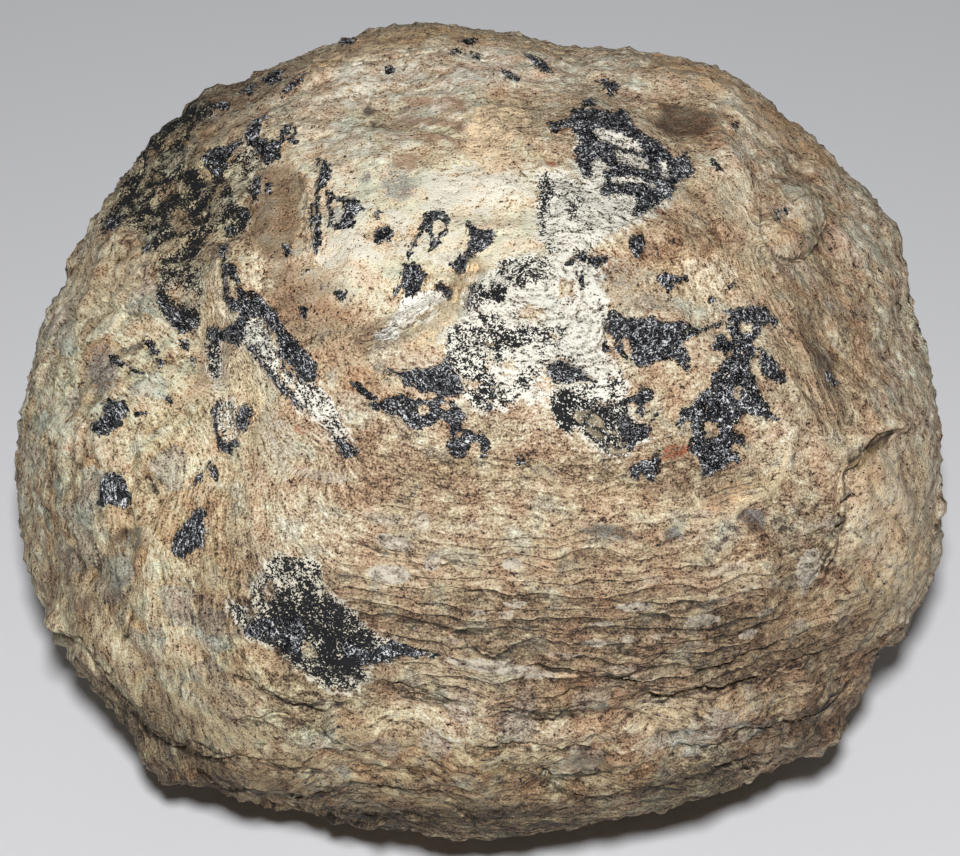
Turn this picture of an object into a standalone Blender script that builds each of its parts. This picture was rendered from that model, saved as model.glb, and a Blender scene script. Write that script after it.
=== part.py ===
"""A coal ball: one lump of peat turned to stone, rounded and flattened, lying on a small flat spot.

The model is in metres, +Z up, +Y to the back, with its origin under the lump's middle on the surface
it lies on. Sizes in this script are millimetres, made metres when the lump's mesh is filled.

Places on the lump are given on its face, the side that looks forwards and up. The face's mid plane
goes through the lump's centre; a place (across, up) is the stone that the eye point sees there.
"""

from math import cos, pi, radians, sin

import bmesh
import bpy
import numpy as np
from mathutils import noise

MM = 0.001

# The lump as a whole
LENGTH = 140  # left to right, along X
DEPTH = 134  # front to back, along Y
THICKNESS = 101  # bottom to top, before the flat spot is cut
FLAT_CUT = 2.6  # what the flat spot takes off the bottom
SQUARENESS = 2.25  # 2 is an ellipsoid, and more is boxier

# The face, from which places are given
FACE_PITCH = radians(50)  # how far above the horizon the face looks
EYE_DISTANCE = 500  # eye point to the lump's centre
RIM_BLEND = 0.35  # how softly what is on the face dies out over its rim

# The outline of the lump as the eye point sees it, clockwise from the top: (across, up)
GIRTH = [
    (-7.5, 61.5), (0, 60), (7, 59), (11.5, 57), (18, 58), (27, 56.5), (38, 53.5), (44.5, 48),
    (53, 40.5), (61, 32.5), (64, 23), (66.5, 12.5), (69, 2), (69, -9), (70, -17.5), (66, -26.5),
    (59, -36), (55, -43.5), (51.5, -48), (43.5, -50), (37, -54), (23, -57), (7, -60), (-8, -61),
    (-26, -58), (-39, -55), (-49, -50), (-60, -37), (-67, -23.5), (-69.5, -12), (-69, 0), (-66, 13),
    (-62, 25), (-56, 35), (-49, 45), (-39, 50.5), (-24, 57), (-15, 60),
]
GIRTH_ROUNDING = 2.5  # degrees, how far its corners are rounded at the rim
GIRTH_SPREAD = 22  # degrees, how far what reaches over the face and the back is rounded

# Broad swellings and hollows: (across, up), (half width, half height), turn in degrees, rise
SWELLINGS = {
    "dome of bare bedding": ((9, 22), (38, 24), 0, 2.2),
    "flank under the dome": ((14, -27), (34, 10), 3, 1.2),
    "left lobe": ((-53, -2), (11, 20), 8, 3.2),
    "lobe low on the left": ((-45, -29), (13, 8), -35, 2.2),
    "hollow slope at the upper left": ((-43, 33), (12, 13), 30, -2.6),
    "dip in the right flank": ((54, 17), (7, 17), 12, -1.8),
    "right shoulder": ((60, -13), (6, 12), 0, 1.5),
    "ringed knob": ((48, 32), (4, 5.5), 10, 1.3),
    "coaly plate": ((-22, -28), (11, 6), -38, 0.8),
    "first nodule": ((-19, -44.5), (3.8, 3.4), 0, 1.5),
    "second nodule": ((-12.5, -44.5), (3.4, 3.2), 0, 1.3),
    "third nodule": ((-1, -50.5), (4.8, 3.8), 0, 1.6),
    "rugged corner": ((45, -46), (9, 4), 20, 1.6),
    "hollow over the rugged corner": ((46, -38), (9, 4), 20, -1.2),
}

# Ridges, and valleys where the rise is under 0: rise, half width, the line they follow
FOLDS = {
    "valley beside the left lobe": (-2.0, 5.5, [(-41, 19), (-39, 4), (-38, -10), (-40, -26), (-44, -37)]),
    "seam across the upper left": (1.3, 3.5, [(-42, 22), (-32, 10), (-26, 0), (-19, -4)]),
    "crest at the dome's right edge": (1.5, 4.5, [(33, 50), (40, 37), (44, 26), (48, 13), (54, 2)]),
    "valley under the dome": (-1.3, 4.5, [(-17, -6), (2, -13), (24, -16), (40, -13), (51, -4)]),
    "crease behind the dome": (-1.3, 3.5, [(10, 58), (24, 51), (35, 45), (44, 38)]),
}

# Bedding planes that have parted. The side on the left of the way the line runs stands over the
# other: lift, reach, the line
BREAKS = {
    "shoulder cleft": (4.6, 6, [(51.5, -24), (53.5, -15), (54.5, -7), (58, -2.5), (65, 0.5)]),
    "rim of the lower left": (2.6, 5, [(-66, -25), (-60, -33), (-53, -41), (-45, -49), (-34, -55)]),
    "ledge over the nodules": (2.0, 4.5, [(-33, -37), (-29, -40), (-22, -41.5), (-14, -39), (-2, -41.5)]),
    "ledge at the middle": (1.8, 4, [(-2, -41), (12, -42.5), (25, -40), (38, -38.5), (45, -34)]),
    "ledge at the right": (2.2, 4.5, [(24, -45), (34, -44.5), (46, -44.5), (51, -42), (55, -38)]),
    "high ledge": (1.3, 4, [(8, -34.5), (20, -36.5), (32, -35), (44, -31.5), (50, -26)]),
    "edge of the dome": (0.7, 6, [(-17, 0), (0, -6), (24, -9), (34, -7.5), (45, -4), (50, 1.5)]),
}
BREAK_EDGE = 0.5  # how far its edge is rounded
TAPER = 0.14  # the share of a line's run over which its ends die out
FOLD_END = 0.3  # what is left of a ridge or valley at its ends

# Bedding. The beds arch over the dome, so round it their edges are nested ovals on the map, which
# is the lump's skin spread flat round the face's middle. Behind the rim they are nearly level.
MAP_RADIUS = 67
DOME_MIDDLE = (9.5, 25)
DOME_HALF = (46, 34)
DOME_SQUARENESS = 2.5
LEFT_BEDS = (-18, -50)  # across the map, from where the ovals end to where the beds stand upright
LEFT_TOP = (32, -8)  # up the map, the same
BACK_LEAN = radians(24)  # the beds behind the rim rise this much towards the front
BACK_DEPTH = 75  # the bed that goes through the lump's centre
BACK_BLEND = (radians(80), radians(125))  # from the face's axis, where the level beds take over

# Ledges, where the beds end one over another round the flanks
LEDGE_SPACING = 5.5
LEDGE_DEPTH = 1.6
LEDGE_LIP = 0.13  # the share of the spacing that its lip takes
LEDGE_WANDER = 4.5  # how far a ledge strays from its bed
LEDGE_REACH = 20  # about how far one runs before it dies out
LEDGE_GAPS = (-0.25, 0.35)  # the noise under which a ledge is gone and over which it is whole
LEDGE_STARTS = (46, 64)  # the beds from which ledges show, and show whole
LEDGE_STEEP = (0.15, 0.6)  # behind the rim, lying on the beds at 0 and square across them at 1

# Lumps all over: size across, height
LUMPS = [(34, 1.9), (15, 1.3), (7, 0.6)]
LUMP_SEED = 4

# Fineness of the solid
SPHERE_STEPS = 7  # subdivisions of the ball that the lump is shaped from
TRIANGLES = 9300  # left after thinning

STONE_COLOUR = (0.33, 0.25, 0.17, 1.0)
STONE_ROUGHNESS = 0.8


def to_unit(vectors):
    return vectors / np.linalg.norm(vectors, axis=-1, keepdims=True)


def smooth_step(low, high, value):
    part = np.clip((value - low) / (high - low), 0, 1)
    return part * part * (3 - 2 * part)


class Face:
    """The face's three directions and its eye point, from the lump's centre."""

    across = np.array([1.0, 0, 0])
    up = np.array([0, sin(FACE_PITCH), cos(FACE_PITCH)])
    out = np.array([0, -cos(FACE_PITCH), sin(FACE_PITCH)])
    eye = out * EYE_DISTANCE

    @classmethod
    def places(cls, points):
        """The (across, up) at which the eye point sees each point."""
        spread = EYE_DISTANCE / (EYE_DISTANCE - points @ cls.out)
        return points @ cls.across * spread, points @ cls.up * spread

    @classmethod
    def facing(cls, points, normals):
        """1 where the surface faces the eye point, 0 at the rim, and less behind it."""
        return (normals * to_unit(cls.eye - points)).sum(axis=-1)


def half_sizes():
    return np.array([LENGTH, DEPTH, THICKNESS]) / 2


def boxy_radius(way):
    """From the centre to the surface of the boxy ellipsoid, along unit vectors."""
    return (np.abs(way / half_sizes()) ** SQUARENESS).sum(axis=-1) ** (-1 / SQUARENESS)


def boxy_normal(way):
    slope = np.sign(way) * np.abs(way / half_sizes()) ** (SQUARENESS - 1) / half_sizes()
    return to_unit(slope)


def boxy_outline(bearings):
    """The boxy ellipsoid's half width on the mid plane, as the eye point sees it."""
    lean = np.radians(np.linspace(-40, 40, 161))[:, None]
    widths = []
    for bearing in bearings:
        side = cos(bearing) * Face.across + sin(bearing) * Face.up
        way = np.cos(lean) * side + np.sin(lean) * Face.out
        points = way * boxy_radius(way)[:, None]
        widths.append((points @ side * EYE_DISTANCE / (EYE_DISTANCE - points @ Face.out)).max())
    return np.array(widths)


def rounded(values, spread):
    """Values for each degree of a turn, evened out over about that many degrees."""
    offsets = np.arange(-180, 180)
    weights = np.exp(-((offsets / spread) ** 2))
    wrapped = np.stack([np.roll(values, offset) for offset in offsets])
    return weights @ wrapped / weights.sum()


def girth_factor(way):
    """What stretches the boxy ellipsoid to the girth at its rim, and mostly fades out from there."""
    across, up = np.array(GIRTH).T
    bearings = np.degrees(np.arctan2(up, across))
    turn = np.arange(360)
    wanted = np.interp(turn, bearings, np.hypot(across, up), period=360)
    factor = wanted / boxy_outline(np.radians(turn))
    here = np.degrees(np.arctan2(way @ Face.up, way @ Face.across))
    close = np.interp(here, turn, rounded(factor, GIRTH_ROUNDING), period=360)
    broad = np.interp(here, turn, rounded(factor, GIRTH_SPREAD), period=360)
    rim_share = 1 - (way @ Face.out) ** 2
    return 1 + (broad - 1) * rim_share**1.5 + (close - broad) * rim_share**6


def swelling(across, up, middle, half, turn, rise):
    x = across - middle[0]
    y = up - middle[1]
    along = (x * cos(radians(turn)) + y * sin(radians(turn))) / half[0]
    beside = (y * cos(radians(turn)) - x * sin(radians(turn))) / half[1]
    return rise * np.exp(-(along**2 + beside**2))


def from_line(across, up, line):
    """Each place's distance from a line, more than 0 on its left, and its share of the way along."""
    spot = np.stack([across, up], axis=-1)
    nearest = np.full(len(spot), np.inf)
    signed = np.zeros(len(spot))
    share = np.zeros(len(spot))
    steps = len(line) - 1
    for step in range(steps):
        start = np.array(line[step], float)
        run = np.array(line[step + 1]) - start
        part = np.clip((spot - start) @ run / (run @ run), 0, 1)
        off = spot - start - part[:, None] * run
        distance = np.hypot(off[:, 0], off[:, 1])
        side = np.sign(run[0] * off[:, 1] - run[1] * off[:, 0])
        closer = distance < nearest
        nearest = np.where(closer, distance, nearest)
        signed = np.where(closer, distance * side, signed)
        share = np.where(closer, (step + part) / steps, share)
    return signed, share


def taper(share):
    return smooth_step(0, TAPER, share) * smooth_step(0, TAPER, 1 - share)


def fold(across, up, rise, half_width, line):
    distance, share = from_line(across, up, line)
    ends = FOLD_END + (1 - FOLD_END) * taper(share)
    return rise * np.exp(-((distance / half_width) ** 2)) * ends


def parting(across, up, lift, reach, line):
    distance, share = from_line(across, up, line)
    step = np.tanh(distance / BREAK_EDGE) * np.exp(-np.abs(distance) / reach)
    return lift / 2 * step * taper(share)


def face_relief(across, up):
    relief = sum(swelling(across, up, *place) for place in SWELLINGS.values())
    relief += sum(fold(across, up, *place) for place in FOLDS.values())
    relief += sum(parting(across, up, *place) for place in BREAKS.values())
    return relief


def field(points, size, seed):
    """Smooth noise, from -1 to 1, whose lumps are about as wide as size. Each seed is another one."""
    shift = np.multiply.outer(seed, [17.3, 5.1, 9.7])
    return np.array([noise.fractal(p, 1.0, 2.0, 3) for p in points / size + shift])


def map_places(way):
    """Where unit vectors meet the map, and their angle from the face's axis."""
    angle = np.arccos(np.clip(way @ Face.out, -1, 1))
    bearing = np.arctan2(way @ Face.up, way @ Face.across)
    return MAP_RADIUS * angle * np.cos(bearing), MAP_RADIUS * angle * np.sin(bearing), angle


def bed_depths(way, points):
    """How deep in the pile of beds each point is, from the dome's middle down, and the back's share."""
    across, up, angle = map_places(way)
    over = np.abs((across - DOME_MIDDLE[0]) / DOME_HALF[0]) ** DOME_SQUARENESS
    over += np.abs((up - DOME_MIDDLE[1]) / DOME_HALF[1]) ** DOME_SQUARENESS
    ovals = DOME_HALF[1] * over ** (1 / DOME_SQUARENESS)
    left = smooth_step(*LEFT_BEDS, across) * smooth_step(*LEFT_TOP, up)
    front = ovals * (1 - left) + (DOME_HALF[1] - across) * left
    upright = np.array([0, sin(BACK_LEAN), cos(BACK_LEAN)])
    back = smooth_step(*BACK_BLEND, angle)
    return front * (1 - back) + (BACK_DEPTH - points @ upright) * back, back


def ledges(way, points, normals):
    """Beds that stand out one over another, each with its lip at its lower edge."""
    wander = LEDGE_WANDER * (field(points, 30, 1) + field(points, 9, 2) / 5)
    depth, back = bed_depths(way, points)
    bed, part = np.divmod((depth + wander) / LEDGE_SPACING, 1)
    profile = np.where(part > 1 - LEDGE_LIP, (1 - part) / LEDGE_LIP * (1 - LEDGE_LIP), part) - 0.5
    upright = np.array([0, sin(BACK_LEAN), cos(BACK_LEAN)])
    steep = smooth_step(*LEDGE_STEEP, 1 - np.abs(normals @ upright))
    round_dome = smooth_step(*LEDGE_STARTS, depth)
    runs = smooth_step(*LEDGE_GAPS, field(points, LEDGE_REACH, bed))
    return LEDGE_DEPTH * profile * runs * (round_dome * (1 - back) + steep * back)


def lumps(points):
    sizes = enumerate(LUMPS)
    return sum(height * field(points, size, LUMP_SEED + n) for n, (size, height) in sizes)


def shape(way):
    """The lump's surface, from its centre, along unit vectors."""
    points = way * (boxy_radius(way) * girth_factor(way))[:, None]
    normals = boxy_normal(way)
    across, up = Face.places(points)
    facing = Face.facing(points, normals)
    on_face = smooth_step(-RIM_BLEND, RIM_BLEND, facing)
    off_rim = 1 - np.exp(-((facing / RIM_BLEND) ** 2))
    relief = face_relief(across, up) * on_face + lumps(points) * off_rim
    relief += ledges(way, points, normals)
    return points + normals * relief[:, None]


def new_collection(name):
    collection = bpy.data.collections.new(name)
    bpy.context.scene.collection.children.link(collection)
    return collection


def lump(collection):
    mesh = bpy.data.meshes.new("coal_ball")
    ball = bmesh.new()
    bmesh.ops.create_icosphere(ball, subdivisions=SPHERE_STEPS, radius=1)
    ball.to_mesh(mesh)
    ball.free()
    way = np.empty(len(mesh.vertices) * 3, np.float32)
    mesh.vertices.foreach_get("co", way)
    points = shape(to_unit(way.reshape(-1, 3).astype(float)))
    points[:, 2] += THICKNESS / 2 - FLAT_CUT
    mesh.vertices.foreach_set("co", (points * MM).astype(np.float32).ravel())
    mesh.update()
    obj = bpy.data.objects.new("coal_ball", mesh)
    collection.objects.link(obj)
    return obj


def thin_out(obj):
    """Fewer triangles, the most of them where the surface bends."""
    thin = obj.modifiers.new("thin out", "DECIMATE")
    thin.ratio = TRIANGLES / len(obj.data.polygons)


def cut_flat(obj, collection):
    """Takes off what is lower than the surface that the lump lies on."""
    depth = THICKNESS * MM
    bpy.ops.mesh.primitive_cube_add(size=1, location=(0, 0, -depth / 2))
    ground = bpy.context.object
    ground.name = "ground"
    ground.dimensions = (2 * LENGTH * MM, 2 * DEPTH * MM, depth)
    ground.hide_render = True
    ground.display_type = "WIRE"
    for home in list(ground.users_collection):
        home.objects.unlink(ground)
    collection.objects.link(ground)
    cut = obj.modifiers.new("flat spot", "BOOLEAN")
    cut.operation = "DIFFERENCE"
    cut.solver = "EXACT"
    cut.object = ground


def centre(obj):
    """Puts the middle of the finished lump's box over the origin."""
    seen = obj.evaluated_get(bpy.context.evaluated_depsgraph_get())
    corners = np.array(seen.bound_box)
    middle = (corners.min(axis=0) + corners.max(axis=0)) / 2
    obj.location = (-middle[0], -middle[1], 0)


def stone():
    material = bpy.data.materials.new("petrified_peat")
    material.use_nodes = True
    shader = material.node_tree.nodes["Principled BSDF"]
    shader.inputs["Base Color"].default_value = STONE_COLOUR
    shader.inputs["Roughness"].default_value = STONE_ROUGHNESS
    return material


def main():
    for old in list(bpy.data.objects):
        bpy.data.objects.remove(old)
    obj = lump(new_collection("coal ball"))
    obj.data.materials.append(stone())
    thin_out(obj)
    cut_flat(obj, new_collection("cutters"))
    centre(obj)


main()
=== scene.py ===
from math import cos, radians, sin

import bpy
import numpy as np
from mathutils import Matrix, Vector


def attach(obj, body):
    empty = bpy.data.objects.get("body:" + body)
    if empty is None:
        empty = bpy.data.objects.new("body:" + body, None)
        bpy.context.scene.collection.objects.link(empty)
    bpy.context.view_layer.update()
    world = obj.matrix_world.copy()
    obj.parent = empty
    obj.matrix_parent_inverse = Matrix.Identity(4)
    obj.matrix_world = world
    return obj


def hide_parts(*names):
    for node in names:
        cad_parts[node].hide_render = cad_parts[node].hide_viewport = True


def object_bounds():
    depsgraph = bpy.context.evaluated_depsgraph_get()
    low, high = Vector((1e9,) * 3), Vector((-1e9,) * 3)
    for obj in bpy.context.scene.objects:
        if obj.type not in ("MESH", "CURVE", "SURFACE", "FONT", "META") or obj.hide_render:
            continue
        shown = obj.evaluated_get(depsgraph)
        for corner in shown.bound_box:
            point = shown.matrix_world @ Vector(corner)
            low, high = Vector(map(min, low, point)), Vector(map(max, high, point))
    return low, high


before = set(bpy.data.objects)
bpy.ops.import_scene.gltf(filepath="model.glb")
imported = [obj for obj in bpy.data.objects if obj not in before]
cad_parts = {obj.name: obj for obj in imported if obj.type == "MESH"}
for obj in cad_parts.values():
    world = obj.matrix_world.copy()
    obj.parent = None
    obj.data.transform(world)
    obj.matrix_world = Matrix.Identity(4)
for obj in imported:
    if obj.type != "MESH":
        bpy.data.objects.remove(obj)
packed_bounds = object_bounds()


# ---- The stone's shape ----
# A lump of peat that lime turned to stone before it was buried. Its face is a
# smooth parting between two beds; below and around it the beds crop out as
# wavy laminae a millimetre thick, with ledges and open cracks between them.
MIDDLE = np.array((0.27327, 0.50981, 47.9))  # mm, the lump's middle in the frame
FACE_PITCH = radians(50)  # the face looks this far up from level
EYE_AWAY = 500  # mm from the middle to the point that the chart is drawn from
STEP = 0.15  # mm per chart step; x runs right and y down
CHART_MIDDLE = (480, 430)  # chart steps
OUT = np.array((0, -cos(FACE_PITCH), sin(FACE_PITCH)))
UP = np.array((0, sin(FACE_PITCH), cos(FACE_PITCH)))
ACROSS = np.array((1, 0, 0))

MAP_RADIUS = 67  # mm of the round map per radian from the face's middle
DOME_MIDDLE = (9.5, 25)  # mm on the map
DOME_HALF = (46, 34)
DOME_SQUARENESS = 2.5
LEFT_BEDS = (-18, -50)  # mm across where the beds turn upright
LEFT_TOP = (32, -8)
MAP_REACH = radians(100)  # past this angle the beds only wrap round the stone
POLE = (radians(150), radians(172))  # where they close behind
POLE_DEPTH = 165  # mm

SAME_POINT = 0.00001  # m
VOXEL = 0.00042  # m
MELT_TURNS = 10
BACK_SHARE = 0.27  # of the far side's triangles that are kept
FAR_SIDE = 0.02  # stone that faces the chart's eye less than this is on the far side
EDGE_KEPT = 0.5  # mm beside coal edges and cracks where no triangle is merged
TRIANGLES = 196000


def smooth_step(start, end, value):
    share = np.clip((value - start) / (end - start), 0, 1)
    return share * share * (3 - 2 * share)


def noise(points, size, seed):
    """Smooth random values from -1 to 1, in blobs about size mm across."""
    cell = points / size + seed * 17.31
    low = np.floor(cell).astype(np.int64)
    part = cell - low
    part = part * part * (3 - 2 * part)
    total = np.zeros(len(points))
    for corner in np.ndindex(2, 2, 2):
        at = low + corner
        mixed = (at[:, 0] * 73856093) ^ (at[:, 1] * 19349663) ^ (at[:, 2] * 83492791) ^ (seed * 9176543)
        mixed = ((mixed ^ (mixed >> 13)) * 1274126177) & 0xFFFFFFFF
        value = ((mixed ^ (mixed >> 16)) & 0xFFFF) / 32767.5 - 1
        total += value * np.prod(np.where(corner, part, 1 - part), axis=1)
    return total


def chart(points):
    """Where points, in mm from the middle, fall on the face's chart."""
    spread = EYE_AWAY / (EYE_AWAY - points @ OUT)
    x = CHART_MIDDLE[0] + points @ ACROSS * spread / STEP
    y = CHART_MIDDLE[1] - points @ UP * spread / STEP
    return x, y


def bed_depths(points):
    """How many mm of beds lie between the top of the face and each point."""
    way = points / np.linalg.norm(points, axis=1)[:, None]
    angle = np.arccos(np.clip(way @ OUT, -1, 1))
    bearing = np.arctan2(way @ UP, way @ ACROSS)
    mapped = MAP_RADIUS * np.minimum(angle, MAP_REACH)
    across, up = mapped * np.cos(bearing), mapped * np.sin(bearing)
    over = np.abs((across - DOME_MIDDLE[0]) / DOME_HALF[0]) ** DOME_SQUARENESS
    over += np.abs((up - DOME_MIDDLE[1]) / DOME_HALF[1]) ** DOME_SQUARENESS
    ovals = DOME_HALF[1] * over ** (1 / DOME_SQUARENESS)
    left = smooth_step(*LEFT_BEDS, across) * smooth_step(*LEFT_TOP, up)
    front = ovals * (1 - left) + (DOME_HALF[1] - across) * left
    behind = smooth_step(*POLE, angle)
    return (front + MAP_RADIUS * angle - mapped) * (1 - behind) + (POLE_DEPTH + points @ UP) * behind


def inside(x, y, outline):
    """Distance in mm into a closed chart outline; negative outside it."""
    corners = np.array(outline, float)
    depth = np.full(len(x), -4.0)
    low, high = corners.min(0) - 20, corners.max(0) + 20
    near = np.flatnonzero((x > low[0]) & (x < high[0]) & (y > low[1]) & (y < high[1]))
    px, py = x[near], y[near]
    best, odd = np.full(len(near), 1e9), np.zeros(len(near), bool)
    for (x0, y0), (x1, y1) in zip(corners, np.roll(corners, -1, 0)):
        run, fall = x1 - x0, y1 - y0
        along = np.clip(((px - x0) * run + (py - y0) * fall) / (run * run + fall * fall), 0, 1)
        best = np.minimum(best, (px - x0 - along * run) ** 2 + (py - y0 - along * fall) ** 2)
        crosses = (y0 > py) != (y1 > py)
        odd ^= crosses & (px < run * (py - y0) / (fall if fall else 1) + x0)
    depth[near] = np.clip(np.where(odd, 1, -1) * np.sqrt(best) * STEP, -4, 4)
    return depth


def from_line(x, y, line):
    """Signed distance in mm to a chart line, left of its run positive, and the share run."""
    corners = np.array(line, float)
    lengths = np.hypot(*(corners[1:] - corners[:-1]).T)
    total, run_so_far = lengths.sum(), 0
    best, side, share = np.full(len(x), 1e9), np.ones(len(x)), np.zeros(len(x))
    for (x0, y0), (x1, y1), length in zip(corners, corners[1:], lengths):
        run, fall = x1 - x0, y1 - y0
        along = ((x - x0) * run + (y - y0) * fall) / length ** 2
        held = np.clip(along, 0, 1)
        gap = (x - x0 - held * run) ** 2 + (y - y0 - held * fall) ** 2
        nearer = gap < best
        best = np.where(nearer, gap, best)
        side = np.where(nearer, np.where(run * (y - y0) - fall * (x - x0) < 0, 1, -1), side)
        share = np.where(nearer, (run_so_far + held * length) / total, share)
        run_so_far += length
    return side * np.sqrt(best) * STEP, share


# Open cracks between beds: depth and half width in mm, height of the upper lip
# in mm, then the line on the chart. The lip stands on the left of the run.
CRACKS = [
    (1.4, 0.30, 0.7, [(222, 672), (243, 680), (260, 690), (284, 699), (312, 705), (330, 704), (346, 701),
        (370, 708)]),
    (1.7, 0.34, 0.8, [(380, 683), (395, 688), (422, 691), (441, 695), (452, 701), (466, 707)]),
    (1.2, 0.26, 0.5, [(398, 692), (410, 697), (440, 698), (452, 703)]),
    (1.2, 0.26, 0.5, [(486, 707), (508, 710), (522, 708), (540, 714), (558, 717), (580, 713),
        (596, 712)]),
    (1.3, 0.28, 0.8, [(528, 664), (548, 667), (580, 672), (606, 674), (626, 676), (645, 670),
        (668, 665)]),
    (1.8, 0.38, 0.9, [(600, 678), (618, 682), (636, 684), (652, 690), (664, 691)]),
    (2.0, 0.40, 1.1, [(642, 699), (668, 700), (682, 697), (700, 692), (720, 687), (738, 685), (752, 682),
        (761, 676), (763, 667)]),
    (1.7, 0.34, 0.9, [(684, 671), (710, 668), (728, 664), (742, 657), (762, 650), (780, 640)]),
    (1.8, 0.36, 1.0, [(778, 727), (800, 722), (812, 716), (825, 707), (834, 697), (846, 682),
        (856, 668)]),
    (1.5, 0.32, 0.7, [(676, 741), (700, 750), (714, 747), (728, 738), (742, 731), (762, 728),
        (778, 729)]),
    (1.3, 0.30, 0.7, [(700, 782), (718, 768), (740, 759), (758, 752), (772, 741), (792, 731)]),
    (1.2, 0.28, 0.6, [(756, 690), (775, 676), (792, 667), (808, 659), (828, 654)]),
    (1.6, 0.36, 0.9, [(866, 661), (884, 651), (900, 641), (911, 627)]),
    (1.2, 0.30, 0.7, [(876, 637), (893, 631), (906, 621)]),
    (1.2, 0.28, 0.5, [(736, 766), (748, 768), (760, 764)]),
    (0.9, 0.22, 0.4, [(225, 724), (246, 721), (262, 722), (280, 717), (296, 719), (312, 727), (332, 739),
        (350, 748), (366, 756)]),
    (0.9, 0.20, 0.3, [(345, 539), (362, 545), (378, 551), (402, 558)]),
    (1.0, 0.22, 0.3, [(410, 540), (425, 552), (442, 558), (462, 561)]),
    (0.9, 0.20, 0.2, [(405, 545), (412, 565), (425, 576), (431, 586), (437, 594)]),
    (0.8, 0.18, 0.3, [(222, 632), (240, 655), (255, 675), (264, 684)]),
    (0.6, 0.2, 0.1, [(112, 286), (121, 287), (131, 294), (139, 303), (140, 314), (135, 318), (124, 311),
        (117, 299)]),
    (1.0, 0.24, 0.3, [(764, 182), (757, 205), (761, 232), (777, 254), (798, 261), (816, 249), (824, 226),
        (821, 198), (809, 179)]),
    (1.4, 0.3, 0.5, [(600, 806), (580, 800), (560, 790), (545, 775), (530, 768)]),
    (1.4, 0.3, 0.5, [(480, 828), (466, 815), (452, 806), (440, 802)]),
    (1.0, 0.26, 0.4, [(540, 815), (570, 808), (600, 800), (640, 792)]),
    (3.2, 0.7, 0.7, [(836, 545), (843, 520), (845, 500), (844, 485), (846, 473), (852, 460), (865, 449),
        (882, 439), (906, 430)]),
    (1.8, 0.45, 0.5, [(822, 575), (826, 560), (833, 545)]),
    (2.2, 0.5, 1.0, [(250, 766), (225, 762), (205, 760), (185, 752), (165, 742), (150, 735), (142, 725),
        (130, 710), (118, 695), (108, 680), (100, 668), (92, 660), (82, 645), (68, 638), (55, 628),
        (42, 612), (37, 594)][::-1]),
    (1.3, 0.3, 0.5, [(48, 640), (62, 656), (78, 672), (92, 690), (108, 706), (126, 724)]),
    (1.0, 0.26, 0.5, [(176, 738), (200, 745), (230, 755), (262, 762), (300, 770), (340, 772)]),
    (1.2, 0.28, 0.6, [(196, 786), (240, 791), (300, 795), (350, 797), (400, 800)]),
    (1.0, 0.26, 0.5, [(270, 808), (300, 812), (330, 808), (360, 815), (392, 820)]),
    (0.8, 0.22, 0.4, [(300, 786), (340, 789), (380, 788), (420, 792), (452, 790)]),
    (0.9, 0.22, 0.4, [(600, 655), (622, 652), (650, 655), (676, 652)]),
    (0.9, 0.22, 0.4, [(392, 612), (420, 622), (452, 630), (486, 633), (520, 640)]),
    (0.9, 0.22, 0.4, [(556, 640), (590, 645), (622, 648), (640, 646)]),
    (0.8, 0.20, 0.4, [(712, 641), (742, 634), (770, 622), (788, 612)]),
    (0.8, 0.20, 0.3, [(500, 588), (530, 597), (570, 602), (612, 601), (650, 598)]),
    (0.8, 0.20, 0.3, [(640, 614), (676, 612), (706, 606), (730, 600)]),
    (0.8, 0.20, 0.3, [(470, 648), (500, 655), (530, 657)]),
    (1.0, 0.24, 0.5, [(470, 742), (500, 748), (532, 747), (560, 752), (600, 748)]),
    (1.0, 0.24, 0.5, [(500, 770), (540, 776), (580, 775), (620, 768), (660, 762)]),
    (1.0, 0.24, 0.5, [(560, 800), (600, 798), (640, 790), (680, 783)]),
    (0.8, 0.20, 0.4, [(330, 768), (360, 772), (392, 768), (430, 776)]),
    (0.8, 0.20, 0.3, [(302, 78), (312, 66), (332, 62), (380, 58), (420, 50), (446, 48)]),
    (0.9, 0.24, 0.3, [(446, 50), (462, 52), (480, 56), (492, 59)]),
    (0.9, 0.24, 0.3, [(524, 54), (535, 60), (545, 69), (553, 71)]),
    (0.8, 0.22, 0.3, [(500, 71), (510, 78), (520, 81)]),
    (0.9, 0.24, 0.3, [(282, 99), (294, 86), (306, 72)]),
    (0.7, 0.18, 0.2, [(300, 170), (304, 200), (303, 230), (308, 258)]),
]
FIBRES = [  # bundles of parallel fibres: half width in mm, then the line they follow
    (3.2, [(742, 225), (758, 268), (783, 322), (802, 356), (826, 402), (848, 446)]),
    (1.6, [(722, 172), (738, 200), (756, 226), (778, 242)]), (2.2, [(700, 505), (730, 492), (768, 478)]),
    (2.0, [(352, 348), (392, 330), (430, 312), (446, 296)]), (1.6, [(455, 312), (462, 285), (478, 258)]),
    (2.0, [(210, 392), (216, 330), (212, 262), (224, 232)]), (1.8, [(590, 405), (606, 428), (622, 446)]),
]


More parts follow.
